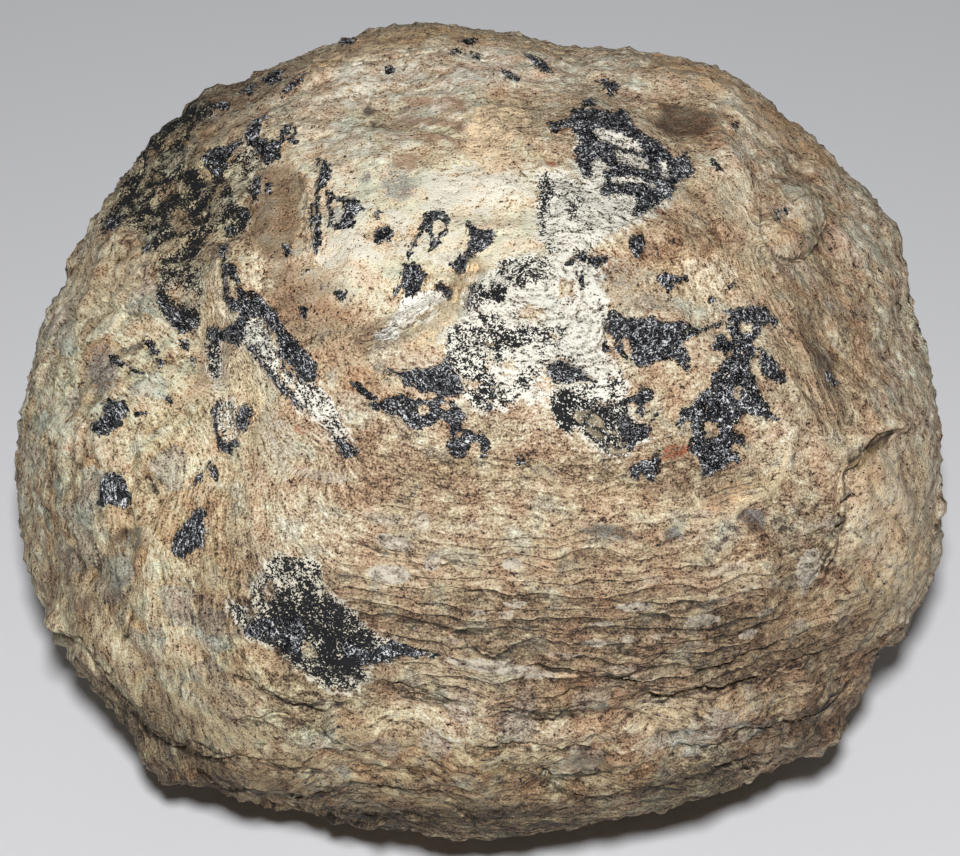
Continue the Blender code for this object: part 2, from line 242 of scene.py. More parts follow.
RIDGES = [  # height and half width in mm, then the line on the chart
    (0.8, 1.1, [(700, 100), (725, 140), (745, 180), (760, 215), (770, 250), (790, 300), (800, 340),
        (815, 375), (830, 400), (850, 440)]),
    (0.5, 0.5, [(740, 215), (745, 240), (755, 270), (765, 300), (778, 330), (795, 360), (815, 395),
        (825, 410)]),
    (0.45, 0.5, [(757, 240), (768, 275), (785, 320), (810, 370)]),
    (0.5, 0.6, [(700, 170), (730, 230), (757, 290), (775, 330), (795, 380), (820, 430)]),
    (0.6, 0.5, [(750, 210), (765, 228), (780, 238), (800, 248)]),
    (0.5, 0.5, [(765, 225), (775, 235), (790, 245), (805, 248), (818, 240), (820, 225)]),
    (0.6, 0.9, [(788, 440), (790, 470), (795, 500), (800, 520)]),
    (0.45, 0.6, [(684, 515), (700, 525), (728, 516), (757, 500), (776, 488), (785, 465), (788, 440)]),
    (0.45, 0.35, [(693, 180), (672, 196), (640, 217), (620, 232), (596, 248)]),
    (0.45, 0.4, [(688, 340), (705, 331), (720, 325), (733, 323)]),
    (0.4, 0.35, [(350, 345), (380, 345), (410, 338), (446, 300)]),
    (0.35, 0.3, [(372, 352), (400, 342), (425, 322), (447, 300)]),
    (0.5, 0.45, [(456, 312), (463, 286), (472, 262), (482, 254)]),
    (0.5, 0.5, [(247, 344), (264, 368), (285, 394), (310, 414), (338, 440)]),
    (0.5, 0.5, [(318, 158), (306, 190), (305, 225), (303, 250), (306, 278)]),
    (0.5, 0.6, [(304, 76), (330, 70), (370, 66), (400, 60), (430, 55), (460, 56), (492, 64)]),
    (0.4, 0.5, [(330, 92), (360, 84), (400, 80), (440, 82), (470, 92)]),
    (0.4, 0.5, [(345, 106), (390, 96), (430, 94), (460, 104)]),
    (0.45, 0.5, [(476, 100), (466, 128), (464, 150), (478, 170)]),
    (0.6, 0.7, [(105, 300), (125, 306), (150, 318), (175, 328), (200, 330)]),
    (0.6, 0.8, [(190, 395), (205, 440), (212, 490), (210, 540), (205, 590), (212, 640), (230, 665)]),
    (0.5, 0.6, [(232, 395), (238, 440), (250, 490), (262, 530)]),
    (0.5, 0.5, [(855, 335), (862, 330), (866, 318)]),
    (0.7, 0.8, [(868, 646), (884, 640), (898, 628), (906, 612)]),
    (0.6, 0.8, [(790, 745), (806, 752), (820, 744), (832, 728)]),
    (0.6, 0.7, [(540, 466), (552, 482), (566, 492), (576, 514)]),
    (0.5, 0.6, [(625, 500), (650, 482), (690, 470), (730, 470)]),
]
KNOBS = [  # middle, half width, half height on the chart, tilt in degrees and height in mm
    (790, 216, 32, 42, -10, 1.2), (352, 730, 30, 26, 0, 0.9), (398, 728, 24, 24, 0, 0.7),
    (657, 722, 30, 18, 0, 0.8), (703, 728, 22, 14, 0, 0.5), (807, 742, 24, 13, 0, 0.9),
    (768, 753, 20, 11, 0, 0.7), (820, 365, 18, 18, 0, 0.6), (745, 770, 16, 9, 0, 0.6),
    (450, 726, 24, 18, 0, 0.5), (562, 736, 28, 14, 0, 0.6), (612, 730, 22, 14, 0, 0.5),
    (500, 732, 20, 13, 0, 0.5), (870, 545, 22, 16, 0, 0.6), (835, 526, 18, 14, 0, 0.5),
    (300, 742, 26, 16, 0, 0.5), (180, 700, 24, 18, 30, 0.5), (120, 650, 26, 18, 40, 0.6),
    (90, 600, 22, 26, 0, 0.6), (70, 520, 20, 26, 0, 0.6), (55, 440, 18, 28, 0, 0.6),
    (150, 560, 22, 24, 0, 0.5), (160, 470, 20, 24, 0, 0.5), (100, 440, 24, 20, 0, 0.4),
    (80, 340, 22, 26, 20, 0.6), (130, 300, 26, 14, 30, 0.6), (120, 240, 20, 14, -30, 0.5),
    (170, 220, 26, 20, 0, 0.5), (205, 170, 20, 16, -20, 0.5), (155, 165, 16, 14, 0, 0.4),
    (265, 130, 26, 16, -10, 0.5), (820, 160, 18, 14, 40, 0.5), (775, 158, 16, 14, 0, 0.4),
    (850, 240, 20, 30, -20, 0.5), (890, 330, 18, 26, -10, 0.5), (860, 400, 22, 20, 0, 0.6),
    (905, 500, 20, 26, 0, 0.6), (880, 600, 22, 18, -30, 0.6), (740, 100, 24, 14, 30, 0.4),
    (600, 66, 24, 12, 0, 0.5), (650, 70, 26, 12, 10, 0.5), (820, 700, 20, 14, -40, 0.6),
    (860, 640, 22, 12, -30, 0.5), (918, 316, 22, 38, -10, -1.1), (902, 232, 16, 26, -20, 1.0),
    (206, 98, 30, 16, -25, 1.2), (72, 272, 20, 46, 20, -1.0), (46, 634, 20, 22, 0, 1.7),
    (66, 668, 22, 18, 0, 0.8), (842, 734, 20, 16, 0, 1.0), (882, 662, 22, 18, 0, -0.8),
    (944, 511, 16, 30, 0, -0.9), (150, 770, 36, 24, 30, 1.5), (292, 818, 54, 22, 5, -1.7),
    (385, 832, 60, 18, 0, -1.3), (180, 786, 24, 18, 20, 1.0), (860, 430, 26, 22, 0, -0.6),
    (826, 500, 16, 40, 10, -0.5),
]


def cracks(points):
    """How far cracks and their lips move each point out, the nearest crack and how open it is."""
    wavy = points + np.stack([noise(points, 3.2, seed) for seed in (11, 12, 13)], 1) * 0.45
    wavy += np.stack([noise(points, 1.1, seed) for seed in (14, 15, 16)], 1) * 0.16
    x, y = chart(wavy)
    moved, nearest, opening = np.zeros(len(x)), np.full(len(x), 4.0), np.zeros(len(x))
    for depth, width, lip, line in CRACKS:
        low, high = np.min(line, 0) - 40, np.max(line, 0) + 40
        near = np.flatnonzero((x > low[0]) & (x < high[0]) & (y > low[1]) & (y < high[1]))
        gap, share = from_line(x[near], y[near], line)
        ends = smooth_step(0, 0.14, share) * smooth_step(1, 0.86, share)
        ends *= 0.75 + 0.35 * noise(points[near], 4, 21)
        dip = depth * np.exp(-(gap / width) ** 2)
        rise = lip * np.exp(-np.abs(gap) / 2.4) * np.where(gap > 0, 1, -0.5)
        moved[near] += ends * (rise - dip)
        closer = np.abs(gap) < np.abs(nearest[near])
        nearest[near] = np.where(closer, gap, nearest[near])
        shown = ends * smooth_step(1.0, 0.6, np.abs(gap)) * min(1, depth / 1.2)
        opening[near] = np.where(closer, shown, opening[near])
    for rise, width, line in RIDGES:
        low, high = np.min(line, 0) - 40, np.max(line, 0) + 40
        near = np.flatnonzero((x > low[0]) & (x < high[0]) & (y > low[1]) & (y < high[1]))
        gap, share = from_line(x[near], y[near], line)
        ends = smooth_step(0, 0.14, share) * smooth_step(1, 0.86, share)
        moved[near] += rise * ends * np.exp(-(gap / width) ** 2)
    for middle_x, middle_y, wide, high, tilt, rise in KNOBS:
        moved += rise * smooth_step(1.15, 0.55, oval(x, y, middle_x, middle_y, wide, high, tilt))
    return moved, nearest, opening


def oval(x, y, middle_x, middle_y, wide, high, tilt):
    """How far out each chart place lies in an oval: 0 in its middle, 1 on its edge."""
    turn = radians(tilt)
    along = (x - middle_x) * cos(turn) + (y - middle_y) * sin(turn)
    over = (y - middle_y) * cos(turn) - (x - middle_x) * sin(turn)
    return np.hypot(along / wide, over / high)


def points_of(mesh):
    flat = np.empty(len(mesh.vertices) * 3, np.float32)
    mesh.vertices.foreach_get("co", flat)
    return flat.reshape(-1, 3) * 1000.0 - MIDDLE


def normals_of(mesh):
    flat = np.empty(len(mesh.vertices) * 3, np.float32)
    mesh.vertices.foreach_get("normal", flat)
    return flat.reshape(-1, 3).astype(float)


def store(mesh, name, values):
    kept = mesh.attributes.get(name) or mesh.attributes.new(name, "FLOAT", "POINT")
    kept.data.foreach_set("value", np.ascontiguousarray(values, np.float32))


def baked(made):
    """Turns an object's modifiers into plain mesh."""
    bpy.context.view_layer.update()
    graph = bpy.context.evaluated_depsgraph_get()
    mesh = bpy.data.meshes.new_from_object(made.evaluated_get(graph), preserve_all_data_layers=True,
                                           depsgraph=graph)
    made.modifiers.clear()
    old, made.data = made.data, mesh
    bpy.data.meshes.remove(old)
    return made


stone = bpy.data.objects.new("stone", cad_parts["coal_ball"].data.copy())
bpy.context.scene.collection.objects.link(stone)
merge = stone.modifiers.new("merge", "WELD")
merge.merge_threshold = SAME_POINT
remesh = stone.modifiers.new("skin", "REMESH")
remesh.mode = "VOXEL"
remesh.voxel_size = VOXEL
remesh.use_smooth_shade = True
melt = stone.modifiers.new("melt", "SMOOTH")
melt.factor = 0.5
melt.iterations = MELT_TURNS
baked(stone)


# ---- What lies where on the stone ----
# Coal is peat that the lime didn't reach. It is left as thin black skins and
# flakes on the parting, crumbled to black dust in cream lime at their edges.
COAL = [  # outlines of solid coal on the chart
    [(546, 122), (560, 121), (568, 120), (573, 109), (590, 108), (608, 111), (613, 114), (620, 109),
        (626, 109), (634, 124), (648, 138), (655, 138), (669, 150), (674, 158), (680, 155), (686, 151),
        (693, 166), (695, 174), (690, 177), (676, 182), (676, 192), (671, 202), (664, 199), (657, 204),
        (641, 216), (636, 218), (632, 212), (638, 203), (634, 196), (625, 194), (600, 197), (601, 188),
        (606, 182), (603, 172), (612, 168), (600, 158), (592, 160), (592, 180), (582, 175), (580, 165),
        (575, 160), (575, 150), (582, 143), (575, 133), (568, 127), (552, 133)],
    [(582, 106), (584, 99), (591, 98), (597, 102), (594, 107)],
    [(630, 237), (642, 234), (645, 241), (643, 250), (641, 257), (635, 259), (629, 245)],
    [(656, 279), (663, 272), (674, 276), (686, 275), (687, 280), (676, 284), (673, 289), (668, 293),
        (662, 286)],
    [(708, 298), (713, 296), (716, 299), (715, 305), (711, 303)],
    [(726, 284), (737, 283), (736, 288), (728, 289)], [(711, 160), (718, 162), (723, 170), (716, 171)],
    [(607, 92), (612, 90), (615, 95), (609, 97)],
    [(603, 332), (608, 320), (609, 312), (613, 310), (620, 314), (628, 319), (640, 318), (655, 317),
        (663, 320), (680, 321), (700, 328), (712, 324), (722, 321), (724, 325), (712, 329), (700, 333),
        (683, 344), (680, 352), (684, 349), (689, 354), (688, 364), (691, 371), (686, 374), (681, 369),
        (678, 361), (670, 358), (655, 362), (648, 367), (640, 367), (630, 362), (613, 350), (606, 353),
        (602, 347), (610, 349), (618, 344), (615, 338)],
    [(722, 312), (730, 309), (755, 305), (770, 309), (773, 316), (778, 318), (776, 328), (771, 324),
        (762, 326), (760, 335), (754, 340), (755, 350), (758, 357), (751, 361), (753, 374), (757, 381),
        (759, 392), (762, 400), (769, 405), (771, 414), (780, 418), (778, 421), (768, 420), (758, 415),
        (748, 414), (735, 424), (735, 430), (742, 434), (747, 442), (744, 447), (737, 443), (730, 443),
        (732, 450), (739, 454), (738, 459), (722, 469), (712, 474), (706, 478), (701, 473), (700, 462),
        (694, 454), (689, 450), (690, 441), (693, 432), (689, 428), (694, 420), (686, 421), (680, 428),
        (675, 424), (680, 417), (680, 411), (694, 403), (700, 394), (706, 389), (712, 388), (711, 375),
        (715, 370), (726, 361), (733, 350), (727, 355), (714, 350), (709, 347), (715, 342), (714, 336),
        (722, 333), (735, 343), (734, 340), (728, 330), (726, 322), (731, 315)],
    [(759, 347), (765, 350), (775, 362), (785, 374), (788, 382), (775, 383), (763, 376), (759, 362)],
    [(628, 467), (632, 463), (648, 459), (658, 449), (660, 453), (660, 468), (653, 481), (646, 479),
        (643, 472), (638, 472), (639, 481), (632, 478)],
    [(737, 459), (742, 459), (742, 463), (737, 463)],
    [(620, 403), (628, 398), (637, 394), (641, 387), (648, 389), (654, 392), (652, 399), (643, 406),
        (645, 412), (641, 417), (637, 414), (638, 406), (632, 403), (625, 405)],
    [(617, 420), (622, 413), (628, 414), (631, 427), (637, 426), (642, 424), (648, 426), (658, 411),
        (652, 424), (651, 437), (639, 436), (635, 443), (634, 449), (627, 449), (622, 445)],
    [(546, 374), (547, 365), (553, 361), (562, 360), (582, 370), (596, 382), (585, 382), (575, 380),
        (567, 385), (553, 381)],
    [(565, 265), (575, 253), (584, 252), (590, 257), (607, 255), (609, 260), (598, 268), (591, 266),
        (586, 260), (577, 261), (571, 264)],
    [(382, 372), (387, 369), (397, 372), (405, 371), (413, 368), (430, 369), (438, 364), (450, 352),
        (453, 370), (463, 381), (465, 390), (458, 398), (440, 396), (420, 391), (412, 385), (404, 388),
        (403, 378), (395, 376)],
    [(380, 400), (388, 396), (397, 393), (415, 399), (425, 401), (440, 398), (450, 401), (458, 406),
        (468, 417), (463, 422), (460, 430), (470, 432), (486, 435), (490, 447), (488, 456), (482, 458),
        (481, 447), (476, 441), (470, 446), (468, 452), (462, 459), (455, 457), (445, 448), (450, 440),
        (448, 421), (440, 420), (422, 429), (412, 429), (403, 420), (396, 416), (388, 415), (380, 410),
        (366, 406), (372, 402)],
    [(350, 381), (358, 383), (368, 391), (380, 399), (376, 402), (364, 395), (352, 387)],
    [(486, 412), (490, 396), (491, 380), (496, 384), (493, 400), (490, 412)],
    [(317, 160), (325, 160), (331, 166), (331, 178), (321, 190), (319, 200), (321, 225), (322, 240),
        (318, 250), (313, 258), (310, 232), (308, 215), (311, 205), (315, 190), (318, 175)],
    [(312, 261), (314, 265), (309, 272), (305, 277), (304, 274), (308, 268)],
    [(326, 190), (340, 198), (355, 198), (364, 209), (359, 212), (355, 218), (353, 226), (345, 229),
        (335, 230), (327, 225), (330, 218), (327, 205)],
    [(372, 213), (379, 209), (382, 214), (376, 219)],
    [(372, 234), (376, 229), (388, 224), (395, 234), (390, 240), (378, 245), (375, 240)],
    [(424, 213), (436, 209), (443, 211), (451, 218), (449, 226), (442, 241), (437, 248), (429, 252),
        (432, 240), (426, 228), (421, 233), (417, 243), (411, 254), (407, 261), (408, 250), (414, 238),
        (420, 228)],
    [(401, 265), (410, 263), (420, 264), (428, 276), (424, 281), (420, 290), (414, 298), (407, 297),
        (402, 288), (398, 293), (394, 300), (392, 294), (399, 284), (402, 275)],
    [(465, 222), (470, 222), (482, 231), (490, 229), (496, 231), (493, 245), (480, 253), (468, 260),
        (466, 268), (461, 275), (455, 272), (450, 266), (453, 260), (464, 254), (470, 238)],
    [(432, 289), (435, 284), (441, 281), (451, 289), (453, 296), (449, 300), (440, 292)],
    [(260, 118), (263, 114), (271, 116), (262, 122), (258, 136), (263, 139), (270, 141), (278, 139),
        (283, 128), (287, 124), (299, 126), (295, 137), (298, 143), (290, 142), (283, 141), (281, 148),
        (280, 158), (266, 164), (261, 161), (254, 147), (245, 142), (243, 136), (246, 129), (255, 119)],
    [(199, 160), (209, 150), (226, 145), (239, 140), (244, 141), (236, 150), (231, 155), (225, 168),
        (219, 179), (216, 176), (208, 168)],
    [(222, 262), (236, 262), (238, 275), (243, 290), (258, 293), (268, 306), (275, 308), (285, 330),
        (298, 342), (311, 357), (316, 364), (318, 378), (306, 384), (290, 376), (282, 366), (277, 352),
        (268, 330), (262, 318), (252, 316), (245, 322), (243, 338), (238, 346), (222, 340), (216, 346),
        (206, 336), (207, 328), (215, 326), (222, 330), (235, 321), (240, 312), (231, 312), (222, 298),
        (223, 285)],
    [(246, 345), (255, 346), (263, 362), (276, 378), (288, 392), (300, 404), (314, 415), (305, 412),
        (291, 402), (276, 385), (263, 370)],
    [(333, 436), (342, 440), (350, 442), (360, 450), (357, 456), (347, 458), (340, 456)],
    [(156, 300), (159, 292), (164, 298), (175, 308), (190, 315), (200, 322), (195, 332), (180, 334),
        (170, 325), (165, 312)],
    [(103, 478), (108, 472), (122, 474), (128, 488), (131, 496), (130, 505), (132, 517), (122, 507),
        (97, 505), (97, 500), (101, 492), (100, 484)],
    [(102, 405), (110, 398), (120, 400), (128, 405), (128, 414), (122, 420), (121, 427), (112, 432),
        (105, 437), (98, 436), (90, 428), (92, 421), (100, 420), (104, 412)],
    [(134, 412), (145, 410), (147, 413), (145, 417), (134, 415)],
    [(108, 356), (118, 356), (120, 361), (131, 364), (133, 369), (144, 373), (141, 375), (132, 373),
        (128, 366), (113, 366)],
    [(143, 341), (153, 340), (156, 350), (160, 352), (158, 356), (152, 356), (146, 344)],
    [(156, 360), (163, 358), (166, 362), (163, 367), (158, 368)],
    [(164, 397), (172, 397), (171, 403), (166, 405)],
    [(212, 410), (216, 402), (222, 399), (219, 408), (217, 425), (222, 441), (230, 443), (240, 437),
        (239, 446), (233, 449), (232, 454), (226, 453), (220, 452), (216, 438), (213, 430)],
    [(238, 408), (247, 403), (254, 411), (249, 420), (248, 427), (242, 434), (236, 425)],
    [(206, 468), (210, 462), (214, 464), (219, 476), (218, 481), (211, 477)],
    [(196, 474), (203, 473), (202, 480), (193, 487)],
    [(195, 510), (200, 508), (208, 511), (203, 520), (206, 535), (203, 548), (195, 550), (183, 560),
        (170, 551), (171, 544), (178, 530), (186, 521)],
    [(243, 635), (248, 625), (262, 619), (300, 617), (306, 630), (303, 645), (296, 656), (284, 650),
        (275, 643), (262, 640)],
    [(340, 642), (350, 640), (362, 648), (372, 652), (395, 640), (415, 649), (441, 655), (430, 658),
        (405, 656), (380, 664), (362, 666), (346, 656)],
    [(206, 104), (222, 101), (235, 104), (226, 110), (212, 110)],
    [(103, 236), (106, 221), (115, 214), (126, 220), (117, 229)],
    [(140, 254), (147, 242), (152, 241), (149, 252)],
    [(224, 228), (232, 225), (237, 229), (234, 236), (226, 236)],
    [(337, 41), (346, 37), (356, 40), (352, 45), (342, 46)], [(458, 41), (468, 37), (478, 40), (470, 45)],
    [(448, 50), (456, 48), (461, 53), (452, 56)], [(471, 52), (481, 55), (480, 59), (472, 58)],
    [(524, 53), (535, 55), (546, 63), (553, 73), (544, 73), (533, 65)],
    [(501, 69), (508, 71), (522, 78), (518, 83), (507, 80)], [(385, 66), (393, 65), (395, 72), (388, 76)],
    [(597, 78), (608, 79), (619, 86), (616, 93), (605, 89)],
    [(280, 100), (284, 89), (296, 77), (307, 72), (304, 80), (292, 91)],
    [(261, 81), (272, 71), (285, 69), (280, 81), (268, 85)], [(239, 93), (250, 83), (259, 86), (250, 95)],
    [(254, 175), (260, 175), (260, 190), (254, 204)], [(266, 183), (273, 185), (271, 194), (266, 193)],
    [(240, 209), (250, 210), (249, 219), (241, 218)], [(220, 243), (229, 245), (226, 261), (219, 257)],
    [(282, 244), (292, 245), (291, 256), (283, 255)], [(300, 307), (309, 309), (306, 319), (299, 317)],
    [(335, 289), (346, 291), (344, 302), (335, 301)], [(730, 120), (739, 123), (735, 132), (729, 129)],
    [(776, 207), (781, 210), (780, 221), (775, 220)], [(784, 206), (789, 209), (787, 213), (783, 212)],
    [(180, 339), (190, 341), (189, 351), (181, 350)], [(189, 357), (196, 358), (195, 368), (189, 367)],
    [(823, 371), (832, 374), (840, 383), (835, 388), (826, 380)],
    [(515, 457), (525, 455), (527, 463), (517, 464)], [(580, 272), (583, 272), (584, 289), (581, 289)],
    [(603, 320), (610, 322), (606, 352), (602, 347)],
]
HOLES = [  # outlines of dusty lime that shows through coal
    [(594, 130), (606, 128), (622, 133), (636, 140), (643, 150), (628, 150), (612, 144), (600, 140)],
    [(660, 158), (668, 160), (668, 178), (661, 176)], [(622, 338), (630, 342), (632, 362), (624, 354)],
    [(603, 178), (625, 176), (640, 178), (655, 186), (640, 184), (612, 182)],
    [(604, 198), (618, 195), (634, 197), (630, 208), (612, 214), (605, 207)],
    [(616, 150), (632, 154), (646, 160), (650, 170), (632, 166), (618, 160)],
    [(702, 421), (716, 423), (720, 436), (706, 438)], [(264, 330), (276, 336), (280, 352), (270, 350)],
    [(330, 196), (342, 204), (344, 220), (334, 222)], [(226, 276), (236, 280), (238, 300), (230, 296)],
    [(278, 356), (290, 366), (300, 378), (290, 372)],
]
DUSTED = [  # share of black, then the outline of a patch of coal dust in lime; later ones lie on top
    (0.26, [(574, 124), (600, 118), (640, 136), (660, 152), (678, 180), (668, 206), (638, 220),
        (606, 238), (588, 204), (576, 176)]),
    (0.20, [(537, 172), (560, 172), (585, 182), (600, 197), (625, 194), (633, 212), (631, 222),
        (615, 233), (600, 240), (590, 252), (563, 258), (545, 248), (538, 238), (538, 200)]),
    (0.12, [(499, 266), (512, 258), (541, 257), (565, 265), (583, 252), (608, 256), (608, 262),
        (599, 275), (600, 288), (608, 305), (608, 320), (603, 332), (606, 355), (622, 366), (624, 372),
        (600, 384), (560, 360), (545, 366), (540, 385), (548, 400), (520, 400), (505, 408), (490, 410),
        (489, 400), (492, 382), (470, 393), (455, 372), (443, 358), (459, 330), (464, 312), (474, 282),
        (480, 279)]),
    (0.62, [(499, 260), (520, 255), (543, 255), (551, 266), (551, 279), (535, 286), (506, 286),
        (500, 272)]),
    (0.60, [(470, 281), (482, 281), (489, 290), (505, 299), (491, 302), (474, 308), (463, 314),
        (465, 294)]),
    (0.85, [(490, 284), (504, 283), (508, 296), (502, 305), (491, 300)]),
    (0.75, [(476, 316), (492, 313), (507, 322), (502, 331), (484, 328)]),
    (0.80, [(490, 333), (510, 329), (538, 328), (537, 341), (516, 348), (500, 347), (506, 366),
        (498, 366), (493, 348)]),
    (0.60, [(545, 327), (556, 324), (565, 330), (560, 342), (548, 348), (540, 362), (534, 358),
        (542, 340)]),
    (0.52, [(444, 330), (458, 322), (474, 322), (490, 334), (492, 352), (490, 374), (470, 382),
        (454, 368), (446, 350)]),
    (0.60, [(466, 374), (480, 366), (492, 374), (494, 396), (486, 414), (472, 406), (462, 392)]),
    (0.50, [(493, 394), (508, 386), (522, 374), (534, 364), (538, 376), (524, 392), (506, 409),
        (494, 407)]),
    (0.70, [(536, 178), (548, 172), (556, 186), (552, 200), (546, 214), (540, 236), (536, 230),
        (538, 200)]),
    (0.70, [(544, 240), (552, 246), (556, 258), (548, 256)]),
    (0.6, [(566, 200), (580, 196), (582, 214), (570, 218)]),
    (0.50, [(572, 384), (596, 382), (622, 372), (628, 386), (624, 400), (606, 404), (590, 400),
        (578, 392)]),
    (0.80, [(549, 392), (560, 387), (572, 388), (590, 401), (606, 405), (622, 400), (630, 404),
        (628, 416), (640, 424), (650, 427), (650, 438), (636, 444), (632, 452), (618, 458), (600, 450),
        (590, 440), (578, 428), (566, 434), (556, 424), (550, 408)]),
    (0.62, [(264, 566), (272, 556), (280, 553), (296, 558), (307, 555), (319, 562), (322, 572),
        (325, 590), (338, 600), (353, 611), (360, 621), (379, 635), (392, 638), (404, 646), (388, 661),
        (362, 668), (372, 678), (357, 683), (357, 690), (343, 691), (325, 687), (310, 678), (286, 660),
        (285, 652), (268, 642), (248, 639), (236, 624), (227, 601), (244, 606), (253, 603), (250, 585),
        (260, 580)]),
    (0.62, [(180, 106), (206, 106), (214, 118), (196, 125), (190, 140), (182, 155), (185, 170),
        (200, 180), (203, 195), (206, 176), (222, 178), (231, 184), (235, 200), (232, 215), (247, 208),
        (250, 216), (247, 230), (235, 238), (222, 240), (205, 235), (202, 250), (204, 292), (198, 310),
        (204, 326), (180, 334), (160, 310), (157, 292), (160, 275), (158, 262), (150, 240), (140, 228),
        (120, 228), (100, 232), (98, 222), (114, 205), (118, 190), (127, 160), (150, 130)]),
    (0.90, [(150, 136), (176, 110), (204, 104), (216, 112), (190, 122), (168, 142), (150, 160),
        (140, 158)]),
    (0.88, [(156, 206), (174, 194), (196, 199), (201, 214), (182, 226), (164, 224)]),
    (0.86, [(176, 160), (198, 164), (208, 188), (198, 202), (184, 184)]),
    (0.86, [(118, 196), (134, 168), (142, 184), (126, 210)]),
    (0.8, [(218, 178), (234, 186), (237, 215), (222, 216)]),
    (0.88, [(234, 204), (249, 209), (246, 232), (230, 230)]),
    (0.75, [(204, 160), (220, 156), (232, 170), (214, 184)]),
    (0.86, [(156, 286), (176, 298), (202, 316), (198, 330), (172, 328), (158, 306)]),
    (0.80, [(182, 236), (200, 234), (202, 252), (190, 262), (178, 254)]),
    (0.50, [(226, 168), (235, 156), (245, 146), (258, 150), (262, 164), (258, 175), (260, 190),
        (256, 204), (248, 196), (240, 182), (230, 184)]),
    (0.42, [(238, 318), (262, 318), (282, 366), (300, 380), (318, 384), (338, 410), (345, 430),
        (350, 442), (333, 443), (320, 420), (298, 408), (270, 378), (250, 346), (236, 346)]),
    (0.50, [(205, 330), (220, 336), (222, 365), (220, 378), (217, 388), (208, 370)]),
    (0.40, [(216, 402), (230, 400), (238, 412), (238, 436), (222, 440), (217, 425)]),
    (0.80, [(258, 604), (300, 588), (336, 612), (372, 636), (362, 664), (336, 686), (304, 668),
        (262, 640)]),
]
BARE = [  # outlines of pale lime that shows through coal and dust
    [(604, 333), (615, 338), (612, 348), (604, 344)], [(740, 322), (752, 325), (752, 334), (742, 332)],
    [(735, 386), (741, 388), (739, 399), (734, 397)],
    [(417, 407), (424, 405), (430, 410), (426, 416), (418, 414)],
    [(440, 404), (451, 405), (450, 411), (441, 410)], [(457, 432), (462, 434), (461, 440), (456, 438)],
    [(434, 222), (442, 216), (445, 226), (438, 238), (433, 236)],
    [(484, 345), (492, 343), (492, 366), (486, 372)], [(500, 360), (512, 358), (516, 372), (504, 378)],
    [(530, 377), (540, 376), (540, 388), (532, 389)], [(543, 387), (555, 386), (554, 397), (544, 397)],
    [(467, 381), (480, 381), (478, 391), (468, 391)],
    [(555, 281), (572, 280), (578, 290), (566, 300), (556, 295)],
    [(520, 306), (538, 306), (545, 318), (530, 325), (521, 318)],
    [(550, 331), (558, 331), (557, 340), (550, 340)],
    [(163, 190), (172, 180), (178, 182), (176, 192), (168, 198), (160, 200)],
    [(168, 212), (180, 208), (190, 214), (192, 228), (180, 234), (168, 230)],
    [(163, 246), (170, 240), (178, 244), (175, 256), (164, 258)],
    [(206, 180), (213, 177), (215, 184), (208, 190)],
    [(165, 292), (180, 288), (198, 292), (200, 304), (188, 307), (170, 300)],
    [(147, 152), (156, 148), (160, 160), (152, 166)], [(164, 138), (175, 136), (174, 144), (166, 144)],
    [(190, 150), (200, 152), (206, 170), (196, 172), (188, 162)],
    [(232, 188), (244, 186), (246, 200), (236, 206)], [(224, 412), (232, 414), (234, 436), (226, 438)],
    [(268, 326), (276, 336), (278, 352), (270, 344)], [(278, 372), (290, 378), (298, 388), (288, 388)],
    [(300, 642), (312, 641), (316, 656), (304, 660)], [(243, 608), (258, 606), (262, 616), (248, 618)],
    [(262, 585), (274, 580), (276, 600), (266, 602)], [(286, 135), (292, 130), (294, 134), (288, 139)],
    [(263, 126), (276, 122), (280, 130), (270, 138), (262, 134)],
]
LENSES = [  # rootlets cut across: middle on the chart, length, width, tilt in degrees and paleness
    (390, 574, 42, 20, 4, 0.9), (380, 519, 38, 12, 15, 0.5), (394, 543, 40, 16, 17, 0.85),
    (432, 562, 18, 18, 0, 0.8), (421, 521, 22, 20, 0, 0.5), (512, 563, 20, 14, 0, 0.8),
    (321, 476, 60, 12, 10, 0.5), (472, 525, 16, 10, 0, 0.4), (515, 604, 24, 8, 0, 0.7),
    (478, 613, 20, 7, 5, 0.6), (500, 668, 110, 13, 8, 0.7), (634, 607, 38, 10, -4, 0.7),
    (604, 624, 24, 6, 0, 0.55), (595, 643, 26, 7, 0, 0.6), (628, 639, 20, 8, 0, 0.55),
    (621, 669, 34, 7, 0, 0.5), (506, 615, 16, 8, 0, 0.5), (808, 567, 22, 40, 20, 0.7),
    (702, 621, 36, 12, -8, 0.55), (745, 588, 16, 10, 0, 0.4), (749, 634, 20, 8, -20, 0.55),
    (729, 569, 40, 12, -10, 0.35), (773, 584, 14, 12, 0, 0.4), (562, 655, 30, 6, 0, 0.4),
    (660, 636, 24, 6, -5, 0.4), (690, 645, 26, 6, -8, 0.4), (452, 640, 26, 7, 8, 0.35),
    (768, 612, 22, 8, -15, 0.4), (800, 622, 20, 8, -20, 0.4), (720, 600, 24, 7, -8, 0.35),
    (575, 588, 26, 6, 0, 0.3), (655, 580, 30, 7, 0, 0.3),
]
